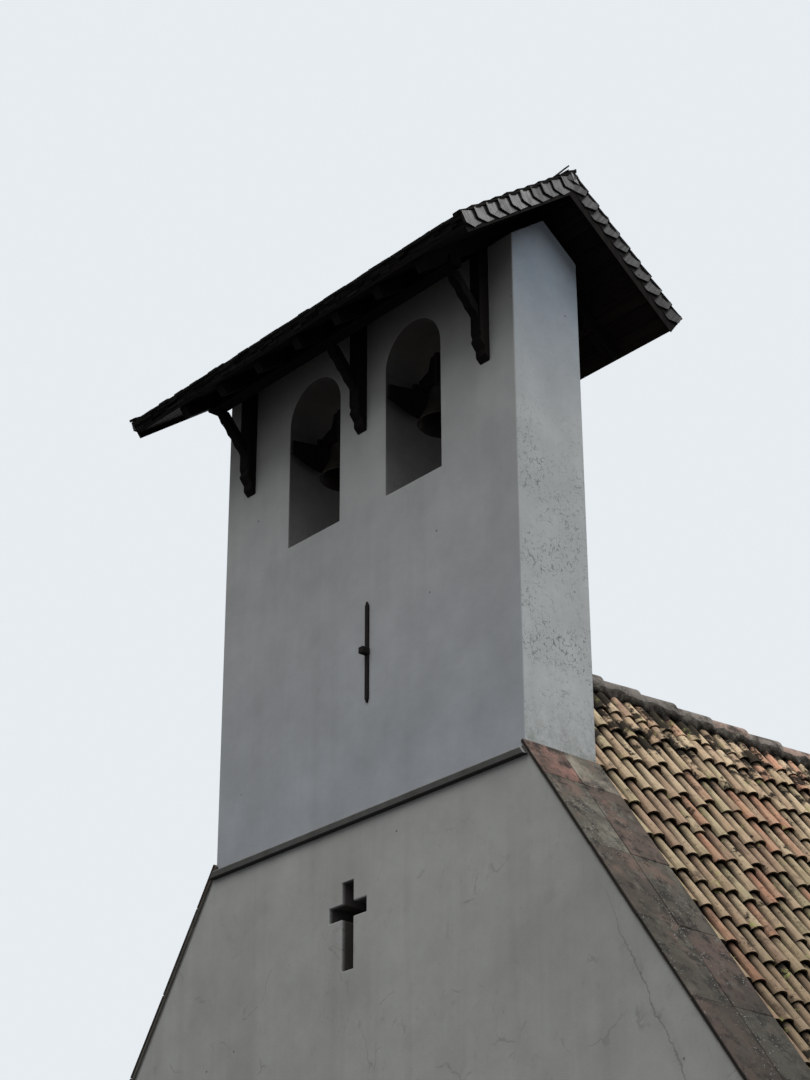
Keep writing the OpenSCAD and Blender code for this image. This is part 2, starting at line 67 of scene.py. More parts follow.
GABLE_SLOPE, SHED_SLOPE = np.radians([56, 37])
VERGE_LIP = 0.025
HALF_BOARD = 0.0125
SHED_RIDGE_Z = verge_top - VERGE_LIP / np.cos(SHED_SLOPE)
print("front", FRONT_Y, "shelf", SHELF_Z, "nave ridge", round(NAVE_RIDGE_Z, 3), "shed ridge", round(SHED_RIDGE_Z, 3))

# %% [markdown]
# ## Helpers
#
# Every piece is finished in the same way: its points and faces become a mesh, it gets a material, it rides on
# a body of the model, and the plain nodes that it stands for are hidden. A few short functions do that each time.

# %% Finish a piece
chance = np.random.default_rng(11)


def show(obj, body, slot, material, *nodes):
    """Gives a piece its material and the body that it moves with, and hides the plain nodes that it stands for."""
    obj.data.materials.clear()
    obj.data.materials.append(material)
    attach(obj, body)
    if nodes:
        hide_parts(*nodes)


def put_mesh(name, points, *faces, smooth=False, **marks):
    """Makes an object from an array of points and arrays of faces, one row of corner numbers per face.

    A mark, such as tint, is a number for each point. The materials read it by its name and use it to make each
    tile or board a little different.
    """
    mesh = bpy.data.meshes.new(name)
    corners = np.concatenate([f.ravel() for f in faces]).astype(np.int32)
    sizes = np.concatenate([np.full(len(f), f.shape[1]) for f in faces])
    mesh.vertices.add(len(points))
    mesh.vertices.foreach_set("co", np.asarray(points, np.float32).ravel())
    mesh.loops.add(len(corners))
    mesh.loops.foreach_set("vertex_index", corners)
    mesh.polygons.add(len(sizes))
    mesh.polygons.foreach_set("loop_start", (np.cumsum(sizes) - sizes).astype(np.int32))
    mesh.polygons.foreach_set("use_smooth", np.full(len(sizes), smooth))
    for word, values in marks.items():
        layer = mesh.attributes.new(word, "FLOAT", "POINT")
        layer.data.foreach_set("value", np.asarray(values, np.float32).ravel())
    mesh.update(calc_edges=True)
    obj = bpy.data.objects.new(name, mesh)
    bpy.context.scene.collection.objects.link(obj)
    print(f"{name}: {len(points)} points, {int((sizes - 2).sum())} triangles")
    return obj


def copies(shape, *faces):
    """Numbers the faces of many copies of one shape: copy i adds i times the points of one copy."""
    count, points = shape.shape[:2]
    shift = np.arange(count)[:, None, None] * points
    return [(f[None] + shift).reshape(-1, f.shape[1]) for f in faces]


def pairs(first, second):
    """Every pair of two lists of numbers, as two flat arrays."""
    return [grid.ravel() for grid in np.meshgrid(first, second, indexing="ij")]


def table(*columns):
    """A row for each piece from columns of numbers. A single number stands for a column full of it."""
    return np.stack(np.broadcast_arrays(*columns), axis=-1)


def ring_quads(rows, around):
    """Four-sided faces between neighbouring rows of points, where each row is a closed ring."""
    row, spot = pairs(range(rows - 1), range(around))
    here, after = row * around + spot, row * around + (spot + 1) % around
    return table(here, after, after + around, here + around)


# %% [markdown]
# ## A block with soft edges
#
# Boards, slabs, shingles and flagstones are all blocks whose edges are a little worn. A plain cube has razor
# edges that catch no light. A bevel modifier would do, but for hundreds of blocks it is quicker to write the
# bevelled shape down once: each of the eight corners becomes three points, one on each face that meets there.

# %% Blocks as arrays
CORNER = np.repeat(np.array(list(itertools.product((-1, 1), repeat=3))), 3, axis=0)
KIND = np.tile(np.arange(3), 8)
INSET = np.arange(3)[None] != KIND[:, None]


def block_faces():
    """Sorts the points of each face by their angle around the direction in which the face looks."""
    unit = CORNER * (1 - 0.3 * INSET)
    flat, edge, tip = [], [], []
    for axis, sign in itertools.product(range(3), (-1, 1)):
        flat.append(np.flatnonzero((KIND == axis) & (CORNER[:, axis] == sign)))
    for (a, b), sa, sb in itertools.product(((0, 1), (0, 2), (1, 2)), (-1, 1), (-1, 1)):
        near = (CORNER[:, a] == sa) & (CORNER[:, b] == sb)
        edge.append(np.flatnonzero(near & ((KIND == a) | (KIND == b))))
    for i in range(8):
        tip.append(np.arange(3 * i, 3 * i + 3))

    def turned(ids):
        out = unit[ids].mean(0)
        side = unit[ids[0]] - out
        up = np.cross(out, side)
        angle = np.arctan2((unit[ids] - out) @ up * (side @ side), (unit[ids] - out) @ side * np.sqrt(up @ up))
        return ids[np.argsort(angle)]

    return np.array([turned(f) for f in flat + edge]), np.array([turned(f) for f in tip])


BLOCK_QUADS, BLOCK_TIPS = block_faces()


def blocks(half, edge, taper=0.0, wear=0.0):
    """Points of blocks, (count, 24, 3), around their own middles.

    half has each block's half length, width and thickness. A point keeps its full reach along one axis and
    stops short by the edge along the two others. taper thins a block towards its far end, where x is lowest,
    and wear moves each corner by chance.
    """
    half = np.atleast_2d(half)[:, None, :]
    points = CORNER[None] * (half - edge * INSET[None])
    along = (points[:, :, :1] / half[:, :, :1] + 1) / 2
    points[:, :, 2:] *= 1 - taper * (1 - along)
    if wear:
        shift = chance.normal(0, wear, (len(points), 8, 3))
        points = points + np.repeat(shift, 3, axis=1)
    return points


def lean(points, tilt, yaw=0.0, spread=None):
    """Turns each block a little: tilt lifts its near end, yaw swings it sideways. Both are small angles.

    spread has how much chance adds to the tilt and to the yaw.
    """
    count = len(points)
    if spread:
        tilt, yaw = tilt + chance.normal(0, spread[0], count), yaw + chance.normal(0, spread[1], count)
    tilt, yaw = np.broadcast_to(tilt, count)[:, None], np.broadcast_to(yaw, count)[:, None]
    x, y, z = points[..., 0], points[..., 1], points[..., 2]
    return np.stack([x - yaw * y - tilt * z, y + yaw * x, z + tilt * x], axis=-1)


def put_blocks(name, points, tint=None):
    """One object from many blocks, with one tint for each block."""
    if tint is None:
        tint = chance.random(len(points))
    faces = copies(points, BLOCK_QUADS, BLOCK_TIPS)
    return put_mesh(name, points.reshape(-1, 3), *faces, tint=np.repeat(tint, 24))


class Slope:
    """A roof slope as a frame of its own: x runs down the slope, y along it and z straight out of it."""

    def __init__(self, start, pitch, way):
        """start is a point of the ridge. way is the flat direction in which the slope falls."""
        way = np.array(way, float)
        self.start = np.array(start, float)
        down = way * np.cos(pitch) - np.array([0, 0, np.sin(pitch)])
        out = way * np.sin(pitch) + np.array([0, 0, np.cos(pitch)])
        self.axes = np.array([down, np.cross(out, down), out])

    def place(self, points):
        """Start of the slope, plus x times down, y times along and z times out."""
        return self.start + points @ self.axes


print("a block has", len(BLOCK_QUADS), "four-sided faces and", len(BLOCK_TIPS), "corner faces")

# %% [markdown]
# ## Softened copies
#
# Beams, walls and irons already have the right shape in the model. Only their edges are too sharp to be real.
# A node's own mesh stays as it is, so a copy of it is merged, its flat faces are joined up, and a bevel runs
# along every edge that bends by more than 30 degrees. Walls that touch are first joined into one skin, because
# real plaster runs over the joints between them.

# %% Copy a node and soften its edges
def settled(obj):
    """Applies every modifier of an object, so that only its mesh is left."""
    bpy.context.view_layer.update()
    shape = obj.evaluated_get(bpy.context.evaluated_depsgraph_get())
    mesh = bpy.data.meshes.new_from_object(shape)
    obj.modifiers.clear()
    obj.data = mesh
    return obj


def flattened(obj):
    """Joins faces that lie in one plane."""
    flat = obj.modifiers.new("flat", "DECIMATE")
    flat.decimate_type = "DISSOLVE"
    flat.angle_limit = np.radians(0.5)
    return settled(obj)


def merged_copy(name, node):
    """A copy of a node with doubled points merged and flat faces joined."""
    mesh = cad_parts[node].data.copy()
    mesh.materials.clear()
    obj = bpy.data.objects.new(name, mesh)
    bpy.context.scene.collection.objects.link(obj)
    obj.modifiers.new("merge", "WELD").merge_threshold = 1e-5
    return flattened(obj)


def softened(obj, width):
    """Bevels every edge that bends by more than 30 degrees."""
    bevel = obj.modifiers.new("edges", "BEVEL")
    bevel.width = width
    bevel.segments = 2
    bevel.limit_method = "ANGLE"
    bevel.angle_limit = np.radians(30)
    return settled(obj)


def joined(name, *nodes):
    """One closed skin around nodes that touch face to face."""
    skin = merged_copy(name, nodes[0])
    for node in nodes[1:]:
        other = merged_copy(node + "_part", node)
        add = skin.modifiers.new("add", "BOOLEAN")
        add.operation = "UNION"
        add.solver = "EXACT"
        add.object = other
        settled(skin)
        bpy.data.objects.remove(other)
    return flattened(skin)


def dress(node, name, width, slot, finish):
    """Shows a softened copy in the place of a node of the chapel's body."""
    show(softened(merged_copy(name, node), width), "chapel", slot, finish, node)


# %% [markdown]
# ## The camera
#
# The chapel is seen from its right front corner, from far below. The place, the turn and the lens were solved
# from the vanishing lines of the bell wall. The three axes of the camera are worked out from its yaw, pitch
# and roll, and become the columns of its matrix.

# %% Set up the camera
CAMERA_AT = (13.1494, -16.2654, 1.4435)
CAMERA_YAW, CAMERA_PITCH, CAMERA_ROLL = np.radians([48.903, 26.456, -0.201])
FOCAL_PIXELS, PICTURE_HEIGHT = 2409.12, 1080


def turned_matrix(*columns):
    """The matrix of an object: three columns for its axes, and a fourth for its place where there is one."""
    rows = np.eye(4)
    rows[:3, :len(columns)] = np.column_stack(columns)
    return Matrix(rows.tolist())


def camera_matrix(at, yaw, pitch, roll):
    """Level axes first, then the pitch lifts forward and up, then the roll turns right and up."""
    level = np.array([-np.sin(yaw), np.cos(yaw), 0])
    right = np.array([np.cos(yaw), np.sin(yaw), 0])
    forward = np.cos(pitch) * level + np.array([0, 0, np.sin(pitch)])
    up = -np.sin(pitch) * level + np.array([0, 0, np.cos(pitch)])
    right, up = np.cos(roll) * right + np.sin(roll) * up, np.cos(roll) * up - np.sin(roll) * right
    return turned_matrix(right, up, -forward, at)


lens = bpy.data.cameras.new("camera")
lens.sensor_fit = "VERTICAL"
lens.sensor_height = 36
lens.lens = FOCAL_PIXELS * lens.sensor_height / PICTURE_HEIGHT
lens.clip_end = 200
camera = bpy.data.objects.new("camera", lens)
bpy.context.scene.collection.objects.link(camera)
camera.matrix_world = camera_matrix(CAMERA_AT, CAMERA_YAW, CAMERA_PITCH, CAMERA_ROLL)
bpy.context.scene.camera = camera
print("lens", round(lens.lens, 2), "mm")

# %% [markdown]
# ## Light and ground
#
# In the photo the gabled front lies in open shade: the sky lights it from above, the roof's overhang keeps
# that light off the top of the wall, and hardly anything comes up from below. The side of the bell wall looks
# to a brighter part of the sky. So a dim sky all around is joined by three very wide lamps: one from the right,
# one from high in front, and a weak one from behind on the left for the sides that the photo doesn't show. The
# camera sees a pale backdrop, which doesn't light anything.

# %% Lights and backdrop
SKY_LIGHT = 0.50
SKY_COLOUR = (0.95, 0.975, 1, 1)
BACKDROP = (0.80, 0.84, 0.88, 1)


def seen_rays(tree):
    """1 for a ray that comes from the camera or through glass, and 0 for all others."""
    path = tree.nodes.new("ShaderNodeLightPath")
    either = tree.nodes.new("ShaderNodeMath")
    either.operation = "MAXIMUM"
    tree.links.new(path.outputs["Is Camera Ray"], either.inputs[0])
    tree.links.new(path.outputs["Is Transmission Ray"], either.inputs[1])
    return either.outputs[0]


def plain_sky():
    """The camera sees the backdrop. All other rays see a dimmer white sky."""
    world = bpy.data.worlds.new("sky")
    bpy.context.scene.world = world
    world.use_nodes = True
    nodes, links = world.node_tree.nodes, world.node_tree.links
    light = nodes["Background"]
    light.inputs["Color"].default_value = SKY_COLOUR
    light.inputs["Strength"].default_value = SKY_LIGHT
    seen = nodes.new("ShaderNodeBackground")
    seen.inputs["Color"].default_value = BACKDROP
    mix = nodes.new("ShaderNodeMixShader")
    links.new(seen_rays(world.node_tree), mix.inputs[0])
    links.new(light.outputs[0], mix.inputs[1])
    links.new(seen.outputs[0], mix.inputs[2])
    links.new(mix.outputs[0], nodes["World Output"].inputs["Surface"])


def wide_lamp(name, toward, strength, width, colour):
    """A sun turned so that its light comes from the direction given. The width in degrees makes it soft."""
    lamp = bpy.data.lights.new(name, "SUN")
    lamp.energy = strength
    lamp.angle = np.radians(width)
    lamp.color = colour
    obj = bpy.data.objects.new(name, lamp)
    bpy.context.scene.collection.objects.link(obj)
    toward = np.array(toward) / np.linalg.norm(toward)
    side = np.cross([0, 0, 1], toward)
    side /= np.linalg.norm(side)
    obj.matrix_world = turned_matrix(side, np.cross(toward, side), toward)


plain_sky()
wide_lamp("lamp_right", (0.67, 0.15, 0.73), 2.56, 40, (0.95, 0.98, 1.0))
wide_lamp("lamp_front", (0.06, -0.69, 0.72), 1.13, 50, (1.0, 0.99, 0.96))
wide_lamp("lamp_left", (-0.75, 0.45, 0.48), 0.90, 50, (1.0, 0.99, 0.97))
bpy.context.scene.view_settings.view_transform = "Standard"
print("sky and three lamps")

# %% [markdown]
# ## Materials, one step at a time
#
# Each finish is a small network of nodes on the place of a point in the object, so a stain stays where it is
# however the piece turns. Building such networks by hand is wordy, so a small class adds one node per call
# and hands back the socket that the next call needs.

# %% A class for finishes
class Finish:
    """A material put together from small steps. Every step returns an output socket."""

    def __init__(self, name, rough=0.85, metal=0.0, gloss=0.3):
        self.material = bpy.data.materials.new(name)
        self.material.use_nodes = True
        self.tree = self.material.node_tree
        self.shader = self.tree.nodes["Principled BSDF"]
        self.shader.inputs["Roughness"].default_value = rough
        self.shader.inputs["Metallic"].default_value = metal
        self.shader.inputs["Specular IOR Level"].default_value = gloss
        self.place = self.add("TexCoord", "Object")

    def feed(self, inputs):
        """Links a value that is a socket, and sets any other value."""
        for socket, value in inputs:
            if isinstance(value, bpy.types.NodeSocket):
                self.tree.links.new(value, socket)
            elif value is not None:
                socket.default_value = value

    def add(self, kind, output, *values, settings=None, **named):
        """Adds a node and feeds its inputs, in their order or by their names."""
        node = self.tree.nodes.new("ShaderNode" + kind)
        for key, value in (settings or {}).items():
            setattr(node, key, value)
        self.feed(list(zip(node.inputs, values)) + [(node.inputs[key], value) for key, value in named.items()])
        return node.outputs[output]

    def stretched(self, x, y, z):
        """The place of a point, scaled, so that a pattern becomes longer where the scale is small."""
        return self.add("Mapping", 0, Vector=self.place, Scale=(x, y, z))

    def noise(self, scale, detail=3.0, rough=0.55, at=None):
        return self.add("TexNoise", 0, Vector=at or self.place, Scale=scale, Detail=detail, Roughness=rough)

    def cells(self, scale, feature="F1", at=None):
        return self.add("TexVoronoi", "Distance", settings={"feature": feature}, Vector=at or self.place, Scale=scale)

    def maths(self, kind, a, b=0.5):
        return self.add("Math", 0, a, b, settings={"operation": kind})

    def plus(self, a, b):
        return self.maths("ADD", a, b)

    def minus(self, a, b):
        return self.maths("SUBTRACT", a, b)

    def most(self, a, b):
        return self.maths("MAXIMUM", a, b)

    def size(self, a):
        return self.maths("ABSOLUTE", a)

    def times(self, total, *shares):
        """Multiplies shares from 0 to 1, so that a layer shows only where all of them do."""
        for share in shares:
            total = self.maths("MULTIPLY", total, share)
        return total

    def between(self, value, low, high, first, last):
        """Turns a value between low and high into one between first and last, and holds it there."""
        return self.add("MapRange", 0, value, low, high, first, last)

    def above(self, value, low, high, share=1.0):
        """0 where the value is below low, and the share where it is above high."""
        return self.between(value, low, high, 0.0, share)

    def below(self, value, low, high, share=1.0):
        """The share where the value is below low, and 0 where it is above high."""
        return self.between(value, low, high, share, 0.0)

    def patches(self, scale, detail, rough, low, high, share=1.0):
        """Patches where a noise is above low, and the full share of them where it is above high."""
        return self.above(self.noise(scale, detail, rough), low, high, share)

    def mark(self, word):
        return self.add("Attribute", "Fac", settings={"attribute_name": word})

    def axis(self, letter):
        return self.add("SeparateXYZ", letter, self.place)

    def facing(self, letter):
        return self.add("SeparateXYZ", letter, self.add("NewGeometry", "Normal"))

    def grey(self, value):
        return self.add("CombineColor", 0, value, value, value)

    def colours(self, value, *stops):
        """A colour for each value: stops are pairs of a place from 0 to 1 and a colour."""
        node = self.tree.nodes.new("ShaderNodeValToRGB")
        ramp = node.color_ramp
        while len(ramp.elements) < len(stops):
            ramp.elements.new(0.5)
        for element, (spot, colour) in zip(ramp.elements, stops):
            element.position = spot
            element.color = (*colour, 1)
        self.tree.links.new(value, node.inputs[0])
        return node.outputs[0]

    def over(self, share, under, colour, mode="MIX"):
        """Lays a colour over another. The share, from 0 to 1, says how much of it shows."""
        node = self.tree.nodes.new("ShaderNodeMix")
        node.data_type = "RGBA"
        node.blend_type = mode
        under, colour = [(*c, 1) if isinstance(c, tuple) else c for c in (under, colour)]
        self.feed(((node.inputs[0], share), (node.inputs[6], under), (node.inputs[7], colour)))
        return node.outputs[2]

    def layers(self, under, *rows):
        """Lays colours over each other, the lowest first. A row is a share, a colour, and a mode if it has one."""
        for share, colour, *mode in rows:
            under = self.over(share, under, colour, *mode)
        return under

    def shaded(self, under, value, low=0.0, high=1.0, first=0.0, last=1.0):
        """Darkens or lightens a colour by a value that is spread from first to last."""
        return self.over(1.0, under, self.grey(self.between(value, low, high, first, last)), "MULTIPLY")

    def done(self, colour, height, depth=0.002, strength=0.6, rough=None):
        """Feeds the shader: a colour, a height for the bumps in metres of depth, and a roughness."""
        bump = self.add("Bump", "Normal", Strength=strength, Distance=depth, Height=height)
        inputs = self.shader.inputs
        self.feed(((inputs["Base Color"], colour), (inputs["Normal"], bump), (inputs["Roughness"], rough)))
        return self.material


# %% [markdown]
# ### The ground
#
# A pale floor that only takes a soft shadow. It has one flat colour, because it isn't part of the chapel. It is
# pale to the camera alone: as a source of light it would shine up under the eaves, which are black in the photo.

# %% Ground plane
GROUND_HALF = 60.0
ground_points = np.array([[x, y, 0] for x, y in ((-1, -1), (1, -1), (1, 1), (-1, 1))]) * GROUND_HALF
ground = put_mesh("ground", ground_points, np.arange(4)[None])
ground_finish = Finish("pale_ground")
ground_colour = ground_finish.over(seen_rays(ground_finish.tree), (0.07, 0.07, 0.07), (0.62, 0.62, 0.61))
ground_finish.feed([(ground_finish.shader.inputs["Base Color"], ground_colour)])
ground.data.materials.append(ground_finish.material)

# %% [markdown]
# ### Lime plaster
#
# The front is an even grey with faint upright streaks, a little warmer on the gable, where one long crack runs
# down. The side of the bell wall is rougher: its skin has come off in short flakes, which lie in clusters, and
# lichen has settled just above the coping. Each of these is one layer. Where it lies is told by the height, by
# the direction in which the face looks, and for the crack by a curve: x = 2.357 + 0.42 d + 0.022 d squared,
# where d = 6.81 - z.

# %% Cracks and flakes of the plaster
def on_front(f):
    """1 on the face of the front, and 0 behind it."""
    return f.below(f.axis("Y"), FRONT_Y - 0.05, FRONT_Y + 0.05)


def gable_crack(f):
    """The shares of the crack and of the stain along it. It wanders a little, and grows thin at both ends."""
    x, z = f.axis("X"), f.axis("Z")
    drop = f.minus(6.81, z)
    line = f.plus(2.357, f.times(drop, f.plus(0.42, f.times(drop, 0.022))))
    wander = f.times(f.minus(f.noise(5.0, 5, 0.7), 0.5), 0.16)
    off = f.size(f.minus(f.plus(x, wander), line))
    part = f.times(f.above(z, 4.5, 5.1), f.below(z, 5.9, 6.6), on_front(f))
    return f.times(f.below(off, 0.003, 0.009), part), f.times(f.below(off, 0.0, 0.09), part)


def bent_edges(f, cell_scale, bend_scale, reach, thin, thick):
    """Lines along the edges of cells. A noise pushes the place aside first, so they come out crooked."""
    shift = f.add("TexNoise", "Color", Vector=f.place, Scale=bend_scale, Detail=4.0)
    push = f.add("VectorMath", 0, shift, (reach, reach, reach), settings={"operation": "MULTIPLY"})
    place = f.add("VectorMath", 0, f.place, push, settings={"operation": "ADD"})
    return f.below(f.cells(cell_scale, "DISTANCE_TO_EDGE", place), thin, thick)


def hair_cracks(f):
    """Fine crooked lines on the gable, a cell edge here and there, and small scuffs in clusters near them."""
    lines = f.times(bent_edges(f, 1.7, 3.0, 0.5, 0.005, 0.016), f.patches(2.3, 4, 0.6, 0.53, 0.60))
    scuffs = f.above(f.noise(1.0, 5, 0.72, f.stretched(13, 13, 7)), 0.575, 0.63)
    scuffs = f.times(scuffs, f.patches(1.1, 5, 0.65, 0.47, 0.58))
    gable = f.times(on_front(f), f.below(f.axis("Z"), SHELF_Z - 0.9, SHELF_Z - 0.1))
    return f.times(f.most(lines, f.times(scuffs, 0.7)), gable)


def flakes(f, side):
    """Short dark dashes: the edges of distorted cells, cut up by a fine noise, in clusters on side faces."""
    dashes = f.times(bent_edges(f, 19.0, 9.0, 0.16, 0.030, 0.075), f.patches(23.0, 3, 0.6, 0.49, 0.56))
    dashes = f.most(dashes, f.patches(52.0, 3, 0.7, 0.60, 0.66, 0.7))
    cluster = f.between(f.noise(2.6, 5, 0.66), 0.40, 0.56, 0.12, 1.0)
    z = f.axis("Z")
    band = f.most(f.between(z, 8.05, 8.5, 0.40, 1.0), f.below(z, 7.7, 7.95))
    return f.times(dashes, cluster, side, f.times(band, f.between(z, 10.0, 10.6, 1.0, 0.15)))


# %% [markdown]
# The inside of the openings and of the doorway is painted darker as shade. Depth behind the front says where
# it starts, and faces that look sideways, up or down belong to it even at the front.

# %% Plaster
def opening_shade(f):
    """The share of painted shade in the openings and in the doorway. The sill and the front are painted a little
    lighter, where more light gets in.
    """
    y, z = f.axis("Y"), f.axis("Z")
    open_z = f.above(z, 7.9, 8.1)
    rear = BACK_Y - 0.10, BACK_Y - 0.015
    inward = f.minus(y, f.above(z, 7.3, 7.5, 0.05))
    deep = f.times(f.above(inward, FRONT_Y + 0.004, FRONT_Y + 0.04), f.below(y, *rear))
    reveal = f.times(f.below(f.size(f.facing("Y")), 0.55, 0.95), open_z)
    deep = f.most(deep, f.times(reveal, f.below(inward, *rear)))
    deep = f.times(deep, f.below(f.size(f.axis("X")), 1.2, 1.3), f.above(z, 5.0, 5.2))
    # Painted shade: how dark the inside of the openings is painted, mottled by a noise
    shade_share = f.most(f.between(f.noise(4.0, 5, 0.6), 0.3, 0.7, 0.84, 0.97), f.below(z, 7.2, 7.5, 0.97))
    less_shade = f.times(f.below(z, 10.2, 11.1, 0.50), f.between(y, FRONT_Y + 0.1, FRONT_Y + 0.6, 1.0, 0.2), open_z)
    return f.times(deep, f.times(shade_share, f.minus(1.0, less_shade)))


def plaster_finish():
    """An even grey under many layers, each with the share that shows where it belongs."""
    f = Finish("lime_plaster", rough=0.92, gloss=0.2)
    z = f.axis("Z")
    side = f.above(f.size(f.facing("X")), 0.8, 0.95)
    ahead = f.minus(1.0, side)
    over_shelf = f.above(z, SHELF_Z - 0.05, SHELF_Z)
    streaks = f.above(f.noise(1.0, 4, 0.6, f.stretched(6, 6, 0.25)), 0.46, 0.74)
    smudges = f.patches(1.9, 6, 0.68, 0.60, 0.74, 0.40)
    foot = f.times(side, f.above(z, SHELF_Z - 0.02, SHELF_Z), f.below(z, SHELF_Z + 0.05, SHELF_Z + 0.42))
    joint = f.below(f.size(f.minus(z, SHELF_Z + 0.012)), 0.006, 0.012, 0.9)
    crack, stain = gable_crack(f)
    specks = f.below(f.cells(3.1), 0.020, 0.034, 0.8)
    dark = f.most(f.times(crack, 0.9), f.most(f.times(flakes(f, side), 0.72), specks))

    base = f.colours(
        f.noise(0.5, 4, 0.55),
        (0.30, (0.325, 0.327, 0.323)), (0.5, (0.345, 0.347, 0.344)), (0.72, (0.366, 0.368, 0.366)),
    )
    base = f.shaded(base, f.noise(3.5, 6, 0.62), 0.30, 0.70, 0.93, 1.05)
    base = f.layers(
        base,
        # The gable is a little warmer, the sides are a little bluer as painted sky light, and the bell wall is darker
        # low in front
        (f.below(z, SHELF_Z - 0.05, SHELF_Z), (0.925, 0.935, 0.905), "MULTIPLY"),
        (side, (0.99, 1.0, 1.0), "MULTIPLY"),
        (f.times(over_shelf, f.below(z, SHELF_Z, 11.2), ahead), (0.84, 0.88, 0.955), "MULTIPLY"),
        # Painted shade under the roof: the tops of the sides and the front under the eaves are darkened where the
        # overhang keeps light off
        (f.times(side, f.above(z, 10.4, 11.7)), (0.52, 0.59, 0.69), "MULTIPLY"),
        (f.times(ahead, f.above(z, 10.9, 12.1, 0.62)), (0.160, 0.148, 0.132)),
        # Faint upright streaks and smudges, stronger on the gable, and damp low on the walls
        (f.times(streaks, f.between(z, SHELF_Z - 1.5, SHELF_Z, 0.34, 0.20)), (0.225, 0.225, 0.218)),
        (f.times(smudges, f.between(z, SHELF_Z - 1.0, SHELF_Z - 0.2, 1.0, 0.25)), (0.20, 0.198, 0.185)),
        (f.below(f.plus(z, f.times(f.noise(1.3, 4), 1.4)), 0.7, 1.8, 0.55), (0.17, 0.165, 0.145)),
        # Lichen and a dark joint at the foot of the bell wall's sides
        (f.times(foot, f.patches(11.0, 6, 0.72, 0.40, 0.60, 0.75)), (0.185, 0.200, 0.175)),
        (f.times(side, joint), (0.05, 0.05, 0.05)),
        # Painted shade inside the openings and the doorway
        (opening_shade(f), (0.074, 0.068, 0.063)),
    )
    base = f.shaded(base, f.noise(1.5, 6, 0.66), 0.32, 0.68, 0.93, 1.06)
    base = f.layers(
        base,
        (f.times(hair_cracks(f), 0.75), (0.150, 0.148, 0.140)),
        (f.times(stain, f.between(f.noise(7.0, 5, 0.7), 0.42, 0.60, 0.08, 0.65)), (0.155, 0.153, 0.143)),
        (dark, (0.074, 0.077, 0.081)),
    )
    height = f.plus(f.noise(9.0, 5, 0.6), f.times(f.noise(90.0, 3, 0.6), 0.25))
    return f.done(base, f.minus(height, f.times(dark, 0.5)), depth=0.005, strength=0.5)


def string_finish():
    """The moulding between gable and bell wall: a pale top, and painted shade that makes the face and underside
    nearly black.
    """
    f = Finish("string_plaster", rough=0.92, gloss=0.2)
    base = f.colours(f.noise(6.0, 6, 0.65), (0.35, (0.200, 0.198, 0.188)), (0.65, (0.330, 0.330, 0.322)))
    # Painted shade: the more a face looks down, the nearer to black it is painted
    base = f.over(f.between(f.facing("Z"), -0.2, 0.85, 0.95, 0.2), base, (0.022, 0.021, 0.020))
    return f.done(base, f.noise(60.0, 5, 0.6), depth=0.003)


PLASTER, STRING = plaster_finish(), string_finish()
print("plaster has", len(PLASTER.node_tree.nodes), "nodes")

# %% [markdown]
# ### Weathered wood
#
# Wood is told by its grain: long, thin lines along the length. Noise that is stretched along one axis gives
# it. The direction differs from piece to piece, so the maker function takes it, with the colours of the wood.

# %% Wood
GRAIN = {"x": (1.2, 26, 26), "y": (26, 1.2, 26), "z": (26, 26, 1.2), "slope": (26, 2.5, 2.5)}


def wood_finish(name, dark, light, along, gloss=0.25, worn=None):
    """Grain runs where the noise is stretched: small scale along the length, large across it."""
    f = Finish(name, gloss=gloss)
    grain = f.noise(1.0, 6, 0.65, f.stretched(*GRAIN[along]))
    base = f.shaded(f.colours(grain, (0.30, dark), (0.70, light)), f.mark("tint"), first=0.72, last=1.28)
    if worn:
        base = f.over(f.patches(3.0, 5, 0.6, 0.42, 0.64, 0.8), base, worn)
    return f.done(base, grain, depth=0.0015, strength=0.8)


BLACKENED = ((0.004, 0.0037, 0.0034), (0.014, 0.0118, 0.0100))
DARK = wood_finish("dark_oak_upright", *BLACKENED, "z", 0.08)
DARK_ALONG = wood_finish("dark_oak_beam", *BLACKENED, "x", 0.08)
DARK_BACK = wood_finish("dark_oak_rafter", *BLACKENED, "slope", 0.08)
NAVE_OAK = wood_finish("brown_oak", (0.050, 0.032, 0.020), (0.150, 0.105, 0.068), "slope", worn=(0.13, 0.115, 0.10))
NAVE_BOARD = wood_finish("roof_board", (0.070, 0.047, 0.030), (0.190, 0.140, 0.095), "y", worn=(0.15, 0.13, 0.11))
DOOR_OAK = wood_finish("door_oak", (0.055, 0.032, 0.018), (0.170, 0.105, 0.062), "z", worn=(0.14, 0.12, 0.10))


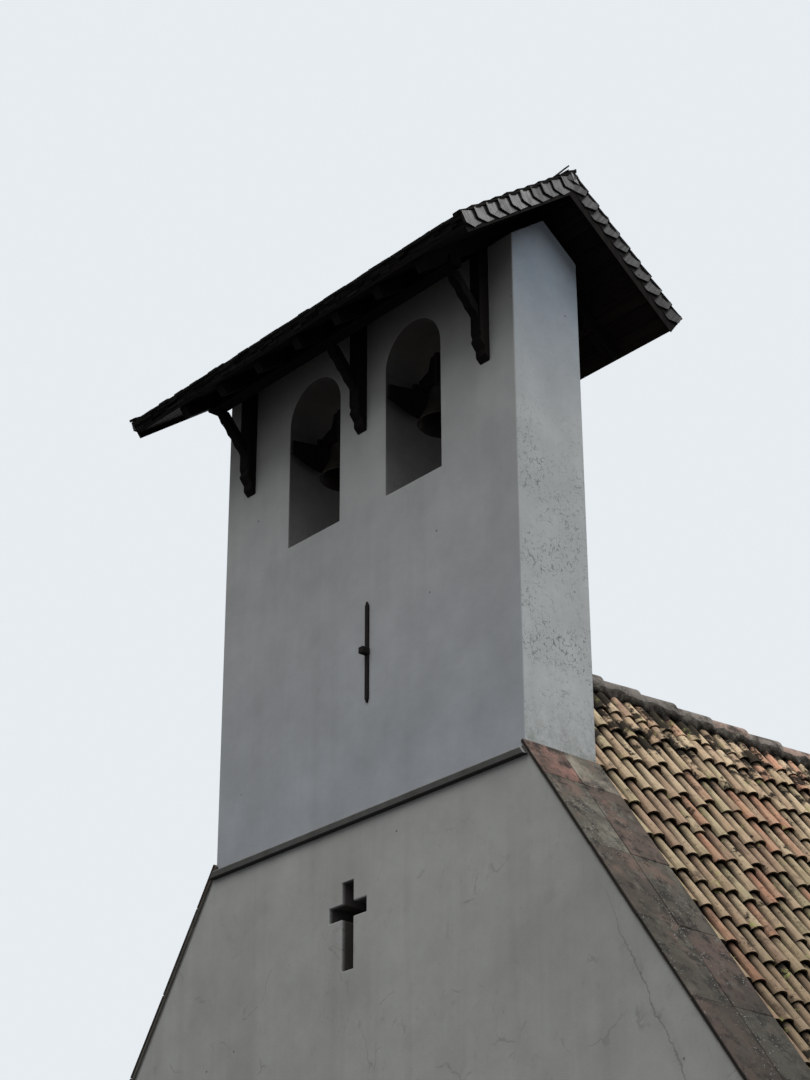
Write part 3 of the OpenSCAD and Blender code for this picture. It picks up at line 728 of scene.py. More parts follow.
def shingle_finish(name, dark, light, patch, fine, steep):
    """Split wood that has gone grey. Its butts and undersides are painted nearly black as shade.

    The grain is noise in the roof's own directions. fine is its scale down the slope: low on the roof, where
    shingles lie along the slope, and high on the verges, where they hang across it. Faces that look up by less
    than steep are painted black as shade. So is the head of a plate, as a painted shadow of the next one.
    """
    f = Finish(name, rough=0.9, gloss=0.08)
    far, high = f.size(f.minus(f.axis("Y"), float(MID_Y))), f.axis("Z")
    sin, cos = float(np.sin(SHED_SLOPE)), float(np.cos(SHED_SLOPE))
    down = f.minus(f.times(far, cos * fine), f.times(high, sin * fine))
    out = f.plus(f.times(far, 4 * sin), f.times(high, 4 * cos))
    across = f.times(f.axis("X"), 34.0)
    grain = f.noise(1.0, 6, 0.68, f.add("CombineXYZ", 0, across, down, out))
    base = f.colours(grain, (0.32, dark), (0.68, light))
    base = f.over(f.patches(4.0, 5, 0.65, 0.45, 0.66, 0.7), base, patch)
    base = f.shaded(base, f.mark("tint"), first=0.32, last=1.20)
    under = f.minus(float(SHED_RIDGE_Z) * cos - 0.090, f.times(out, 0.25))
    back = f.minus(f.mark("back"), f.times(f.most(under, 0.0), 1.5))
    # Painted shade: faces that look down, and the head of each plate under the next one's butt
    black = f.most(f.below(f.facing("Z"), steep - 0.3, steep, 0.95), f.above(back, 0.108, 0.122, 0.95))
    base = f.layers(
        base, (f.patches(11.0, 5, 0.7, 0.58, 0.70, 0.7), (0.025, 0.024, 0.023)), (black, (0.008, 0.0075, 0.007))
    )
    return f.done(base, grain, depth=0.003, strength=0.8)


SHINGLE = shingle_finish(
    "weathered_shingle", (0.030, 0.030, 0.031), (0.165, 0.160, 0.152), (0.075, 0.074, 0.072), 3, 0.6
)
SCALE = shingle_finish(
    "verge_shingle", (0.120, 0.117, 0.118), (0.350, 0.342, 0.336), (0.170, 0.165, 0.163), 44, -0.15
)
print("six kinds of timber and two of shingle")

# %% [markdown]
# ### Clay: tiles, ridge and coping
#
# The barrel tiles were fired in many batches, so each tile has its own colour: ochre, straw, salmon, some
# greenish with algae. Over that lie mauve-brown lichen, black moss that thickens towards the ridge, and small
# pale spots. The tile's own tint picks the clay, and noise on the whole roof lays the growth over it.

# %% Barrel tiles
def tile_finish():
    """Clay by the tile's tint, streaks down the slope, painted shade by depth below the crowns, and moss in patches.
    """
    f = Finish("barrel_tile", rough=0.9, gloss=0.08)
    z = f.axis("Z")
    clay = f.colours(
        f.mark("tint"),
        (0.00, (0.340, 0.250, 0.165)), (0.15, (0.450, 0.380, 0.260)), (0.29, (0.310, 0.225, 0.155)),
        (0.43, (0.370, 0.335, 0.215)), (0.57, (0.400, 0.315, 0.215)), (0.71, (0.270, 0.190, 0.138)),
        (0.80, (0.430, 0.360, 0.250)), (0.88, (0.350, 0.215, 0.146)), (1.00, (0.400, 0.228, 0.155)),
    )
    clay = f.shaded(clay, f.noise(8.0, 5, 0.62), 0.32, 0.68, 0.80, 1.16)
    streak = f.above(f.noise(1.0, 4, 0.6, f.stretched(3, 34, 3)), 0.44, 0.62, 0.45)
    depth = f.plus(
        f.times(f.size(f.axis("X")), float(np.sin(GABLE_SLOPE))),
        f.times(f.minus(z, NAVE_RIDGE_Z), float(np.cos(GABLE_SLOPE))),
    )
    # Painted shade darkens the gaps, the rims, the hollow sides and the strip below the next rim; the lower courses
    # are darker too
    painted_shade_and_tone = f.times(
        f.between(depth, -0.014, 0.024, 0.02, 1.0), f.between(f.facing("Z"), -0.45, -0.10, 0.16, 1.0),
        f.between(f.mark("down"), 0.12, 0.24, 0.30, 1.0), f.between(z, 6.0, 9.2, 0.54, 1.40),
        f.between(f.axis("Y"), -3.6, -0.5, 1.04, 0.88),
    )
    high = f.above(z, NAVE_RIDGE_Z - 1.2, NAVE_RIDGE_Z - 0.2, 0.16)
    moss = f.above(f.plus(f.noise(3.6, 6, 0.70), high), 0.60, 0.655, 0.95)
    green = f.times(f.patches(5.5, 5, 0.65, 0.60, 0.68, 0.8), f.patches(26.0, 4, 0.7, 0.42, 0.56))
    clay = f.layers(
        clay,
        (streak, (0.430, 0.360, 0.250)),
        (f.patches(4.5, 6, 0.7, 0.54, 0.68, 0.75), (0.085, 0.066, 0.056)),
        (f.patches(34.0, 4, 0.7, 0.60, 0.66, 0.75), (0.075, 0.055, 0.042)),
        (1.0, (1.06, 0.970, 0.930), "MULTIPLY"),
        (1.0, f.grey(painted_shade_and_tone), "MULTIPLY"),
        (moss, (0.014, 0.012, 0.010)),
        (green, (0.300, 0.300, 0.110)),
    )
    return f.done(clay, f.plus(f.noise(60.0, 4, 0.65), f.times(moss, 0.8)), depth=0.003)


# %% [markdown]
# The ridge tiles are redder with black growth. The coping slabs are the darkest clay, dotted white by lichen.

# %% Ridge and coping
def ridge_finish():
    """Brown clay, one tile in four redder, with black and pale growth."""
    f = Finish("ridge_tile", rough=0.92, gloss=0.2)
    clay = f.colours(
        f.mark("tint"), (0.0, (0.170, 0.150, 0.132)), (0.70, (0.228, 0.190, 0.163)), (0.95, (0.360, 0.232, 0.185))
    )
    clay = f.layers(
        clay,
        (f.patches(5.0, 6, 0.7, 0.48, 0.60, 0.85), (0.030, 0.027, 0.024)),
        (f.patches(14.0, 5, 0.7, 0.58, 0.70, 0.6), (0.120, 0.112, 0.090)),
    )
    return f.done(clay, f.noise(40.0, 4, 0.65), depth=0.004)


def coping_finish():
    """Each slab has its own clay. Lichen dots it white, and the faces that look to the front and rear are near black.
    """
    f = Finish("coping_clay", rough=0.9, gloss=0.1)
    clay = f.colours(
        f.mark("tint"), (0.0, (0.260, 0.225, 0.182)), (0.30, (0.140, 0.134, 0.108)), (0.50, (0.110, 0.094, 0.076)),
        (0.75, (0.125, 0.088, 0.073)), (1.0, (0.230, 0.125, 0.102)),
    )
    dots = f.times(
        f.below(f.cells(41.0), 0.15, 0.26, 0.55), f.patches(4.0, 5, 0.65, 0.46, 0.58),
        f.patches(30.0, 4, 0.55, 0.42, 0.50),
    )
    clay = f.layers(
        clay,
        (f.patches(2.4, 6, 0.70, 0.41, 0.57, 0.75), (0.056, 0.049, 0.040)),
        (f.patches(3.7, 5, 0.66, 0.54, 0.64, 0.55), (0.170, 0.108, 0.088)),
        (f.patches(5.2, 6, 0.70, 0.54, 0.66, 0.55), (0.165, 0.160, 0.130)),
        (f.below(f.axis("Z"), SHELF_Z - 2.6, SHELF_Z - 0.4, 0.70), (0.033, 0.029, 0.025)),
        (f.patches(8.0, 6, 0.72, 0.49, 0.62, 0.85), (0.024, 0.022, 0.020)),
        (dots, (0.340, 0.345, 0.325)),
        (f.above(f.size(f.facing("Y")), 0.5, 0.9, 0.95), (0.016, 0.015, 0.014)),
    )
    return f.done(clay, f.noise(45.0, 5, 0.65), depth=0.003)


TILE, RIDGE, COPING = tile_finish(), ridge_finish(), coping_finish()
print("tile has", len(TILE.node_tree.nodes), "nodes, coping", len(COPING.node_tree.nodes))

# %% [markdown]
# ### Mortar, iron, bronze, stone and glass
#
# The smaller finishes. Iron is black with rust in the hollows, bronze has a green-brown skin and is a bit
# brighter where it is rubbed, and the flagstones differ from one to the next.

# %% Smaller finishes
def plain_finish(name, rough, metal, gloss, noise, stops, bump, depth, strength=0.6):
    """One noise runs through a few colours, and a second one gives the bumps."""
    f = Finish(name, rough, metal, gloss)
    return f.done(f.colours(f.noise(*noise), *stops), f.noise(*bump), depth, strength)


def bronze_finish():
    f = Finish("bell_bronze", rough=0.6, metal=0.4, gloss=0.2)
    base = f.colours(
        f.noise(7.0, 6, 0.65), (0.30, (0.022, 0.018, 0.012)), (0.55, (0.014, 0.013, 0.011)),
        (0.75, (0.014, 0.019, 0.017)),
    )
    return f.done(base, f.noise(60.0, 4, 0.6), 0.001, rough=f.between(f.noise(12.0, 4), 0.3, 0.7, 0.38, 0.65))


def stone_finish():
    f = Finish("floor_stone", rough=0.85, gloss=0.3)
    base = f.colours(f.noise(5.0, 6, 0.65), (0.3, (0.190, 0.180, 0.160)), (0.7, (0.330, 0.315, 0.285)))
    return f.done(f.shaded(base, f.mark("tint"), first=0.75, last=1.15), f.noise(35.0, 5, 0.65), depth=0.003)


def glass_finish():
    f = Finish("window_glass", rough=0.08, gloss=0.5)
    f.shader.inputs["Transmission Weight"].default_value = 0.75
    f.shader.inputs["IOR"].default_value = 1.45
    base = f.colours(f.noise(2.0, 3), (0.3, (0.62, 0.72, 0.70)), (0.7, (0.78, 0.84, 0.82)))
    return f.done(base, f.noise(5.0, 3), depth=0.002, strength=0.3)


MORTAR = plain_finish(
    "lime_mortar", 0.95, 0.0, 0.15, (9.0, 6, 0.7),
    ((0.3, (0.080, 0.075, 0.066)), (0.7, (0.180, 0.172, 0.155))), (70.0, 5, 0.7), 0.004,
)
MOSSY = plain_finish(
    "mossy_mortar", 0.97, 0.0, 0.1, (13.0, 6, 0.72),
    ((0.36, (0.016, 0.015, 0.014)), (0.54, (0.058, 0.050, 0.042)), (0.70, (0.165, 0.152, 0.125))),
    (50.0, 5, 0.75), 0.010, 0.9,
)
IRON = plain_finish(
    "wrought_iron", 0.8, 0.1, 0.15, (30.0, 6, 0.7),
    ((0.42, (0.007, 0.007, 0.007)), (0.66, (0.016, 0.013, 0.011)), (0.82, (0.045, 0.025, 0.016))),
    (120.0, 4, 0.6), 0.0012,
)
BRONZE, STONE, GLASS = bronze_finish(), stone_finish(), glass_finish()
print("materials", len(bpy.data.materials))

# %% [markdown]
# ## The plastered front
#
# In the model the front is built of eight pieces: two walls beside the door, the gable, and the base, piers
# and head of the bell wall. The plasterer covered them in one go, so they become one skin with edges rounded
# by hand. The side and rear walls become another.

# %% Front, bell wall, side and rear walls
FRONT_NODES = (
    "front_gable_wall", "front_wall_left", "front_wall_right", "bell_wall_base",
    "bell_pier_left", "bell_pier_middle", "bell_pier_right", "bell_wall_head",
)
NAVE_NODES = ("rear_wall", "nave_wall_left", "nave_wall_right")
for name, nodes in (("front_plaster", FRONT_NODES), ("nave_plaster", NAVE_NODES)):
    skin = softened(joined(name, *nodes), 0.010)
    show(skin, "chapel", "plaster", PLASTER, *nodes)
    print(name, "faces", len(skin.data.polygons))
dress("string_course", "string_moulding", 0.006, "plaster", STRING)

# %% [markdown]
# ## Coping slabs
#
# The gable's slopes are covered with clay slabs in two rows, about 0.75 m long and 0.38 m wide. The top slab
# of each row is a half one. Between them are joints of about 4 mm. Under them lies dark mortar, set back from
# the edges, and below that the plaster of the wall, so that only 25 mm of clay show as the dark drip edge.

# %% Lay the coping
JOINT = 0.004
COPING_LENGTHS = np.array([0.38, 0.75, 0.72, 0.76, 0.74, 0.70])
COPING_TINTS = np.array([[1.00, 0.22, 0.62, 0.40, 0.68, 0.30], [0.02, 0.72, 0.48, 0.74, 0.34, 0.60]])


def lay_coping(side, word):
    """Blocks in two rows on a slope that starts at the bell wall's corner and falls to the foot."""
    node, name = "coping_" + word, "coping_slabs_" + word
    low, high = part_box(node)
    slope = Slope([side * WALL_X, MID_Y, high.z], GABLE_SLOPE, (side, 0, 0))
    total = (max(abs(low.x), abs(high.x)) - WALL_X) / np.cos(GABLE_SLOPE)
    lengths = COPING_LENGTHS * total / COPING_LENGTHS.sum()
    half_depth = (high.y - low.y) / 4
    column, row = pairs(range(len(lengths)), (0, 1))
    half = table(lengths[column] / 2 - JOINT / 2, half_depth - JOINT / 2, HALF_BOARD)
    points = lean(blocks(half, 0.004, wear=0.0012), 0.0, spread=(0.003, 0.002))
    across = np.where(row == 0, -side, side) * half_depth
    points += table(np.cumsum(lengths)[column] - lengths[column] / 2, across, -0.0145)[:, None]
    slabs = put_blocks(name, slope.place(points), COPING_TINTS[row, column])
    show(slabs, "chapel", "coping_slab", COPING, node)
    for ending, set_back, half_thick, height, finish in (
        ("_bed", 0.009, 0.0105, -0.0255, MORTAR), ("_plaster", FRONT_Y - low.y, 0.008, -0.0365, PLASTER),
    ):
        bed = blocks([[total / 2 - 0.004, 2 * half_depth - set_back, half_thick]], 0.003) + (total / 2, 0, height)
        show(put_blocks(name + ending, slope.place(bed)), "chapel", "coping_slab", finish)


lay_coping(1, "right")
lay_coping(-1, "left")

# %% [markdown]
# ## Barrel tiles
#
# Each tile is a piece of a tapered tube. The shape is a closed strip, outside, lower rim, inside, upper end,
# swept through the angles of a half circle: a surface of two parameters. The cover tiles lie hollow side
# down, the pan tiles hollow side up between them. The courses don't line up from column to column, because
# the tiler worked column by column.

# %% Tiles as swept strips
def tube_tiles(radius, length, wall, angles, squash=1.0):
    """Points of half tubes, (count, 4 rings times the angles, 3), upper end at x = 0.

    A point at angle a is (length, radius cos a, squash radius sin a). radius has the outer radius at the upper
    and at the lower end of each tile.
    """
    along = table(0 * length, length, length, 0 * length)[:, :, None]
    inner = radius - wall
    reach = table(radius[:, 0], radius[:, 1], inner[:, 1], inner[:, 0])[:, :, None]
    points = table(along, reach * np.cos(angles), reach * np.sin(angles) * squash)
    return points.reshape(len(length), -1, 3)


def tube_faces(steps):
    """Four strips around the wall of the tile, and a cap along each of its long edges."""
    ring, turn = pairs(range(4), range(steps - 1))
    here, after = ring * steps + turn, (ring + 1) % 4 * steps + turn
    caps = np.array([[0, 3, 2, 1]]) * steps
    return np.concatenate([table(here, after, after + 1, here + 1), caps, caps[:, ::-1] + steps - 1])


# %% [markdown]
# The tiles of a slope become one object. Two marks go with them: the tint of each tile, and how far down its
# own tile a point lies. The boards that carry the tiles are blocks, with a bed of mortar on top.

# %% Lay the nave roof
TILE_STEP, TILE_SHOWN, TILE_LONG, SHORTEST_TILE = 0.160, 0.400, 0.460, 0.12
COVER_ANGLES = np.linspace(0, np.pi, 9)
PAN_ANGLES = np.linspace(np.pi * 1.08, np.pi * 1.92, 6)
BOARD_WIDTH = 0.185
BOARD_LENGTHS = np.array([3.1, 3.7, 3.1])
BOARD_STAGGER = 0.7


def lay_tiles(side, word):
    """Columns of cover tiles with pan tiles between them. The model's slab ends at their mean height."""
    slope = Slope([0, 0, NAVE_RIDGE_Z], GABLE_SLOPE, (side, 0, 0))
    reach = NAVE_EAVE_X / np.cos(GABLE_SLOPE)
    columns = np.arange(BACK_Y + 0.045, NAVE_END_Y - 0.06, TILE_STEP)
    courses = np.arange(int(reach / TILE_SHOWN) + 1) * TILE_SHOWN
    x, y = np.meshgrid(courses, columns, indexing="ij")
    shift = chance.uniform(-0.09, 0.09, len(columns))
    x = np.maximum(x + shift + chance.normal(0, 0.010, x.shape) - 0.10, 0.05).ravel()
    y = (y + chance.normal(0, 0.004, y.shape)).ravel() * side
    length = np.minimum(TILE_LONG, reach - 0.066 - x)
    x, y, length = np.array([x, y, length])[:, length > SHORTEST_TILE]
    count = len(x)
    upper = 0.053 + chance.normal(0, 0.0014, count)
    lower = 0.075 + chance.normal(0, 0.0018, count)
    covers = lean(tube_tiles(table(upper, lower), length, 0.015, COVER_ANGLES), 0.040, spread=(0.007, 0.014))
    covers += table(x, y, -0.046 + chance.normal(0, 0.002, count))[:, None]
    pans = lean(tube_tiles(table(upper + 0.024, upper + 0.018), length, -0.012, PAN_ANGLES, 0.5), 0.030)
    pans += table(x, y + side * TILE_STEP / 2, -0.044)[:, None]
    between = y * side < columns[-1] - TILE_STEP / 2
    pans = pans[between]
    first, = copies(covers, tube_faces(len(COVER_ANGLES)))
    second, = copies(pans, tube_faces(len(PAN_ANGLES)))
    points = slope.place(np.concatenate([covers.reshape(-1, 3), pans.reshape(-1, 3)]))
    tint = chance.random(count)
    tints = [np.repeat(tint, covers.shape[1]), np.repeat(tint[between] * 0.5, pans.shape[1])]
    down = length[:, None] / TILE_LONG * np.array([0, 1, 1, 0])
    downs = [np.repeat(down, len(COVER_ANGLES)), np.repeat(down[between], len(PAN_ANGLES))]
    tiles = put_mesh(
        "nave_tiles_" + word, points, first, second + covers.shape[0] * covers.shape[1],
        tint=np.concatenate(tints), down=np.concatenate(downs),
    )
    show(tiles, "chapel", "roof_tile", TILE, "nave_roof_" + word)
    return slope, reach - 0.12


def lay_boards(side, name, slope, reach):
    """Planks under the tiles, a bed of mortar between them and the tiles."""
    rows = int(reach / BOARD_WIDTH)
    lengths = BOARD_LENGTHS * (NAVE_END_Y - BACK_Y) / BOARD_LENGTHS.sum()
    row, piece = pairs(range(rows), range(3))
    ends, stagger = np.cumsum(lengths), (row % 3 - 1) * BOARD_STAGGER
    near = BACK_Y + 0.002 + ends[piece] - lengths[piece] + np.where(piece > 0, stagger, 0)
    far = BACK_Y - 0.002 + ends[piece] + np.where(piece < 2, stagger, 0)
    half = table(reach / rows / 2 - 0.002, (far - near) / 2, HALF_BOARD)
    middle = table((row + 0.5) * reach / rows, side * (far + near) / 2, -0.1075)
    boards = put_blocks(name, slope.place(blocks(half, 0.002, wear=0.0006) + middle[:, None]))
    show(boards, "chapel", "roof_tile", NAVE_BOARD)
    bed = blocks([[reach / 2 - 0.012, (NAVE_END_Y - BACK_Y) / 2 - 0.006, 0.0085]], 0.004)
    bed += (reach / 2, side * (NAVE_END_Y + BACK_Y) / 2, -0.0865)
    show(put_blocks(name + "_bed", slope.place(bed)), "chapel", "roof_tile", MORTAR)


for side, word in ((1, "right"), (-1, "left")):
    lay_boards(side, "nave_boards_" + word, *lay_tiles(side, word))

# %% [markdown]
# ## Ridge tiles
#
# Wider half tubes cap the ridge. Each lies over the next one with its thick rim towards the rear, so the line
# of the ridge goes down in small steps. A lumpy fillet of mortar closes the gap to the tiles on both sides.

# %% Cap the nave ridge
RIDGE_SHOWN, RIDGE_LONG = 0.456, 0.50
ridge_low, ridge_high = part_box("nave_ridge")
RIDGE_RADIUS = ridge_high.x
RIDGE_AXIS_Z = ridge_high.z - RIDGE_RADIUS - 0.012


def cap_ridge():
    """Half tubes along y, each a little lower at its front end than the rim of the one before it."""
    starts = np.arange(ridge_low.y + 0.004, ridge_high.y - 0.20, RIDGE_SHOWN)
    count = len(starts)
    length = np.minimum(RIDGE_LONG, ridge_high.y - 0.004 - starts)
    angles = np.linspace(np.radians(-8), np.radians(188), 15)
    rims = np.array([RIDGE_RADIUS - 0.012, RIDGE_RADIUS]) + chance.normal(0, 0.002, (count, 1))
    tubes = lean(tube_tiles(rims, length, 0.016, angles), 0.034, spread=(0.006, 0.008))
    tubes += table(starts, 0.0, chance.normal(0, 0.003, count))[:, None]
    along_y = np.stack([-tubes[..., 1], tubes[..., 0], tubes[..., 2] + RIDGE_AXIS_Z], axis=-1)
    tint = np.where(starts < ridge_low.y + 1, 0.9, chance.random(count))
    faces = copies(along_y, tube_faces(len(angles)))
    caps = put_mesh("nave_ridge_tiles", along_y.reshape(-1, 3), *faces, tint=np.repeat(tint, along_y.shape[1]))
    show(caps, "chapel", "roof_tile", RIDGE, "nave_ridge")


def ridge_mortar():
    """A lumpy strip: a small ring of points carried along the ridge, pushed in and out by four waves."""
    steps, ring = 240, 10
    count = steps * ring
    y = np.linspace(ridge_low.y + 0.01, ridge_high.y - 0.01, steps)[:, None]
    turn = np.linspace(0, 2 * np.pi, ring, endpoint=False)[None]
    waves = ((13, 2, 0.22), (29, 1, 0.20), (47, 3, 0.14), (83, 2, 0.10))
    lump = 1 + sum(size * np.sin(y * fast + around * turn + fast) for fast, around, size in waves)
    strip, ends = ring_quads(steps, ring), np.arange(ring)[None]
    z = RIDGE_AXIS_Z - 0.042 + 0.046 * np.sin(turn) * lump
    points = [
        table(side * (RIDGE_RADIUS * 0.95 + 0.038 * np.cos(turn) * lump), y, z).reshape(-1, 3) for side in (-1, 1)
    ]
    caps = [ends[:, ::-1], ends + count - ring, ends + count, ends[:, ::-1] + 2 * count - ring]
    mortar = put_mesh(
        "nave_ridge_mortar", np.concatenate(points), strip, strip[:, ::-1] + count, *caps, smooth=True
    )
    show(mortar, "chapel", "roof_tile", MOSSY)


cap_ridge()
ridge_mortar()

# %% [markdown]
# ## Nave timber
#
# Rafters, plates and the ridge board show through the doorway and under the eaves. They are softened copies,
# with a wide bevel because old rafters were squared with an axe.

# %% Nave rafters and beams
dress("nave_rafters", "nave_rafters_hewn", 0.008, "dark_timber", NAVE_OAK)
dress("roof_beams", "roof_beams_hewn", 0.008, "dark_timber", NAVE_OAK)

# %% [markdown]
# ## Shingles on the bell wall's roof
#
# Split wooden shingles lie in eleven courses on each slope. Each is a thin wedge: its butt rests on the course
# below, its head tucks under the course above. Widths, lengths and angles all vary, which gives the ragged
# edges against the sky. A few of the front ones run on past the ridge and stand up like a comb.

# %% Lay the shingles
SHED_LONG, SHED_COURSES = 1.51, 11
SHINGLE_T, SHINGLE_LONG = 0.023, 0.42
SHED_SPAN = 2 * (SHED_HALF - 0.032)
COMB_LOW = -0.125
EAVE_ROWS = ((0.002, -0.025), (0.012, -0.047), (0.006, -0.070))
COMB_ROWS = ((0.150, 0.254, 0.001, 0.0), (0.110, 0.205, -0.018, -0.02))
shed_front = Slope([0, MID_Y, SHED_RIDGE_Z], SHED_SLOPE, (0, -1, 0))
shed_rear = Slope([0, MID_Y, SHED_RIDGE_Z], SHED_SLOPE, (0, 1, 0))


def shingle_row(ends_at, length, top, tilt, narrow=0.085, wide=0.150, ragged=0.008):
    """One course: random widths that fill the roof's length, butts at about the same height on the slope."""
    edges = np.concatenate([[0], np.cumsum(chance.uniform(narrow, wide, 80))])
    edges = np.append(edges[edges < SHED_SPAN - 0.05], SHED_SPAN) - SHED_SPAN / 2
    count = len(edges) - 1
    long = length + chance.normal(0, ragged, count)
    thick = SHINGLE_T * chance.uniform(0.85, 1.15, count)
    points = blocks(table(long / 2, np.diff(edges) / 2 - 0.0015, thick / 2), 0.0025, taper=0.55, wear=0.0012)
    points = lean(points, tilt, spread=(0.006, 0.008))
    end = ends_at - long / 2 - np.abs(chance.normal(0, ragged, count))
    height = top - thick / 2 - tilt * long / 2 - np.abs(chance.normal(0, 0.0015, count))
    return points + table(end, (edges[1:] + edges[:-1]) / 2, height)[:, None]


def lay_shingles(slope, word, comb):
    """All courses of one slope, from the eave up, over three flat ones at the eave."""
    step = SHED_LONG / SHED_COURSES
    past_ridge = 0.02 if comb else -0.012
    rows = [shingle_row(SHED_LONG - back, 0.30, top, 0.0, ragged=0.012) for back, top in EAVE_ROWS]
    for course in range(SHED_COURSES):
        end = SHED_LONG - course * step
        rows.append(shingle_row(end, min(SHINGLE_LONG, end + past_ridge), 0.0, 0.165))
    if comb:
        rows += [np.maximum(shingle_row(*row, 0.06, 0.12, 0.014), (COMB_LOW, -9, -9)) for row in COMB_ROWS]
    shingles = put_blocks("shingles_" + word, slope.place(np.concatenate(rows)))
    show(shingles, "chapel", "shingle", SHINGLE, "tower_roof_" + word)


lay_shingles(shed_front, "front", True)
lay_shingles(shed_rear, "rear", False)

# %% [markdown]
# ## Boards under the shingles
#
# From below the roof shows rough boards that cross the rafters. They are nearly black with age.

# %% Lay the boards
def lay_shed_boards(slope, name, rows=10):
    """Boards that run along the roof, 25 mm thick, with gaps of 4 mm."""
    width = (SHED_LONG - 0.01) / rows
    half = np.tile([width / 2 - 0.002, SHED_SPAN / 2, HALF_BOARD], (rows, 1))
    middle = table((np.arange(rows) + 0.5) * width, 0.0, -0.1075)
    boards = put_blocks(name, slope.place(blocks(half, 0.002, wear=0.0008) + middle[:, None]))
    show(boards, "chapel", "shingle", DARK_ALONG)


lay_shed_boards(shed_front, "shed_boards_front")
lay_shed_boards(shed_rear, "shed_boards_rear")

# %% [markdown]
# ## Scales on the verges
#
# The gable ends of the roof are clad with shingles too. Each is nailed upright on a thin board, with its lower
# corner cut off to a blunt point, and overlaps the next one down. So the row shows eleven light plates with
# thick dark butts between them, like the scales of a fish. The outline of one plate is a short list of points.
# It is made a plate that is thick at its butt and thin at its head, and repeated down the slope. A shingle of
# the roof ends above each plate and gives the upper edge its steps.

# %% Clad the verges
SCALE_COUNT = 11
SCALE_OUTLINE = np.array([
    (-0.245, -0.038), (-0.004, 0.002), (0.002, -0.003), (0.014, -0.074), (0.008, -0.086), (-0.074, -0.140),
    (-0.088, -0.142), (-0.185, -0.134), (-0.245, -0.128),
])


def plate_faces(corners):
    """Two flat faces and a band of four-sided faces around the edge, for an outline that turns clockwise."""
    ring = np.arange(corners)
    after = (ring + 1) % corners
    return ring[None, ::-1], (ring + corners)[None], table(ring, after, after + corners, ring + corners)


def clad_slope(slope, side, spots, lift, head):
    """Plates and roof ends along one slope, with their butts at the spots. No head goes up past its place."""
    count = len(spots)
    outline = SCALE_OUTLINE + chance.normal(0, 0.0025, (count, len(SCALE_OUTLINE), 2))
    turn = chance.normal(0, 0.03, count)[:, None]
    reach = outline[..., 0]
    x = np.maximum(reach - turn * outline[..., 1] + spots[:, None], head)
    z = outline[..., 1] + turn * reach + lift
    back = spots[:, None] - x
    outer = SHED_HALF - 0.0005 - 0.168 * back - np.abs(chance.normal(0, 0.001, (count, 1)))
    outer = np.maximum(outer, SHED_HALF - 0.0255)
    inner = np.maximum(outer - 0.025 + 0.07 * back, SHED_HALF - 0.029)
    way = side * np.sign(slope.axes[1, 0])
    flat = np.concatenate([table(x, outer * way, z), table(x, inner * way, z)], axis=1)
    long = np.minimum(0.26, spots + 0.015 - head)
    ends = lean(blocks(table(long / 2, 0.042, 0.009), 0.002, taper=0.4, wear=0.0015), 0.10, spread=(0.01, 0.01))
    middle = table(spots + 0.015 - long / 2, way * (SHED_HALF - 0.045), 0.011 + lift * 0.6 - 0.10 * long / 2)
    return slope.place(flat), slope.place(ends + middle[:, None]), np.concatenate([back, back], axis=1)


def clad_verge(side, word):
    """Both slopes of one gable end. side is +1 for the right end."""
    first, numbers = SHED_LONG - 0.027, np.arange(SCALE_COUNT)
    front = clad_slope(shed_front, side, first - 0.158 * numbers + 0.001 * numbers ** 2, -0.004, -0.078)
    rear = clad_slope(shed_rear, side, np.linspace(first, 0.062, SCALE_COUNT), 0.044, 0.0)
    points, ends, back = [np.concatenate(both) for both in zip(front, rear)]
    tint = np.concatenate([chance.uniform(0.4, 1.0, SCALE_COUNT), chance.uniform(0.0, 0.2, SCALE_COUNT)])
    scales = put_mesh(
        "verge_scales_" + word, points.reshape(-1, 3), *copies(points, *plate_faces(len(SCALE_OUTLINE))),
        tint=np.repeat(tint, points.shape[1]), back=back,
    )
    show(scales, "chapel", "shingle", SCALE)
    show(put_blocks("verge_ends_" + word, ends), "chapel", "shingle", DARK_BACK)


def verge_boards():
    """A thin bent board behind the plates at each end: three points along the top, three along the bottom."""
    line = np.array([
        [slope.place(np.array([x, 0, z]))[1:] for z in (-0.008, -0.164)]
        for slope, x in ((shed_front, SHED_LONG - 0.012), (shed_rear, SHED_LONG - 0.012))
    ])
    peak = np.array([[MID_Y, SHED_RIDGE_Z - z / np.cos(SHED_SLOPE)] for z in (0.008, 0.164)])
    ring = np.array([line[0, 0], peak[0], line[1, 0], line[1, 1], peak[1], line[0, 1]])
    flat = np.array([[0, 1, 4, 5], [1, 2, 3, 4]])
    start = np.arange(6)
    after = (start + 1) % 6
    band = table(start, start + 6, after + 6, after)
    turn = np.concatenate([flat[:, ::-1], flat + 6, band[:, ::-1]])
    points = [table(side * (SHED_HALF - out), *ring.T) for side in (-1, 1) for out in (0.0298, 0.0262)]
    board = put_mesh("verge_boards_sawn", np.concatenate(points), turn, turn[:, ::-1] + 12, tint=np.full(24, 0.3))
    show(board, "chapel", "shingle", DARK, "verge_boards")


def comb_splinters():
    """Three thin shingles at the right end of the ridge that have come loose and point at the sky."""
    half = np.array([[0.118, 0.022, 0.0045], [0.085, 0.020, 0.0045], [0.060, 0.030, 0.008]])
    middle = np.array([[0.079, 2.098, 0.033], [0.045, 2.070, 0.020], [-0.043, 2.085, 0.003]])
    points = lean(blocks(half, 0.0015, wear=0.001), np.array([-0.19, -0.11, -0.02]), np.array([0.05, -0.08, 0.03]))
    middle[:, 1] *= np.sign(shed_front.axes[1, 0])
    show(put_blocks("comb_splinters", shed_front.place(points + middle[:, None])), "chapel", "shingle", DARK)


clad_verge(1, "right")
clad_verge(-1, "left")
verge_boards()
comb_splinters()

# %% [markdown]
# ## Brackets and rafters of the bell wall
#
# Posts, scalloped struts, eave beams and rafters keep the model's shape. Their edges are softened by a few
# millimetres, more on the posts, whose corners have been chamfered by the carpenter.

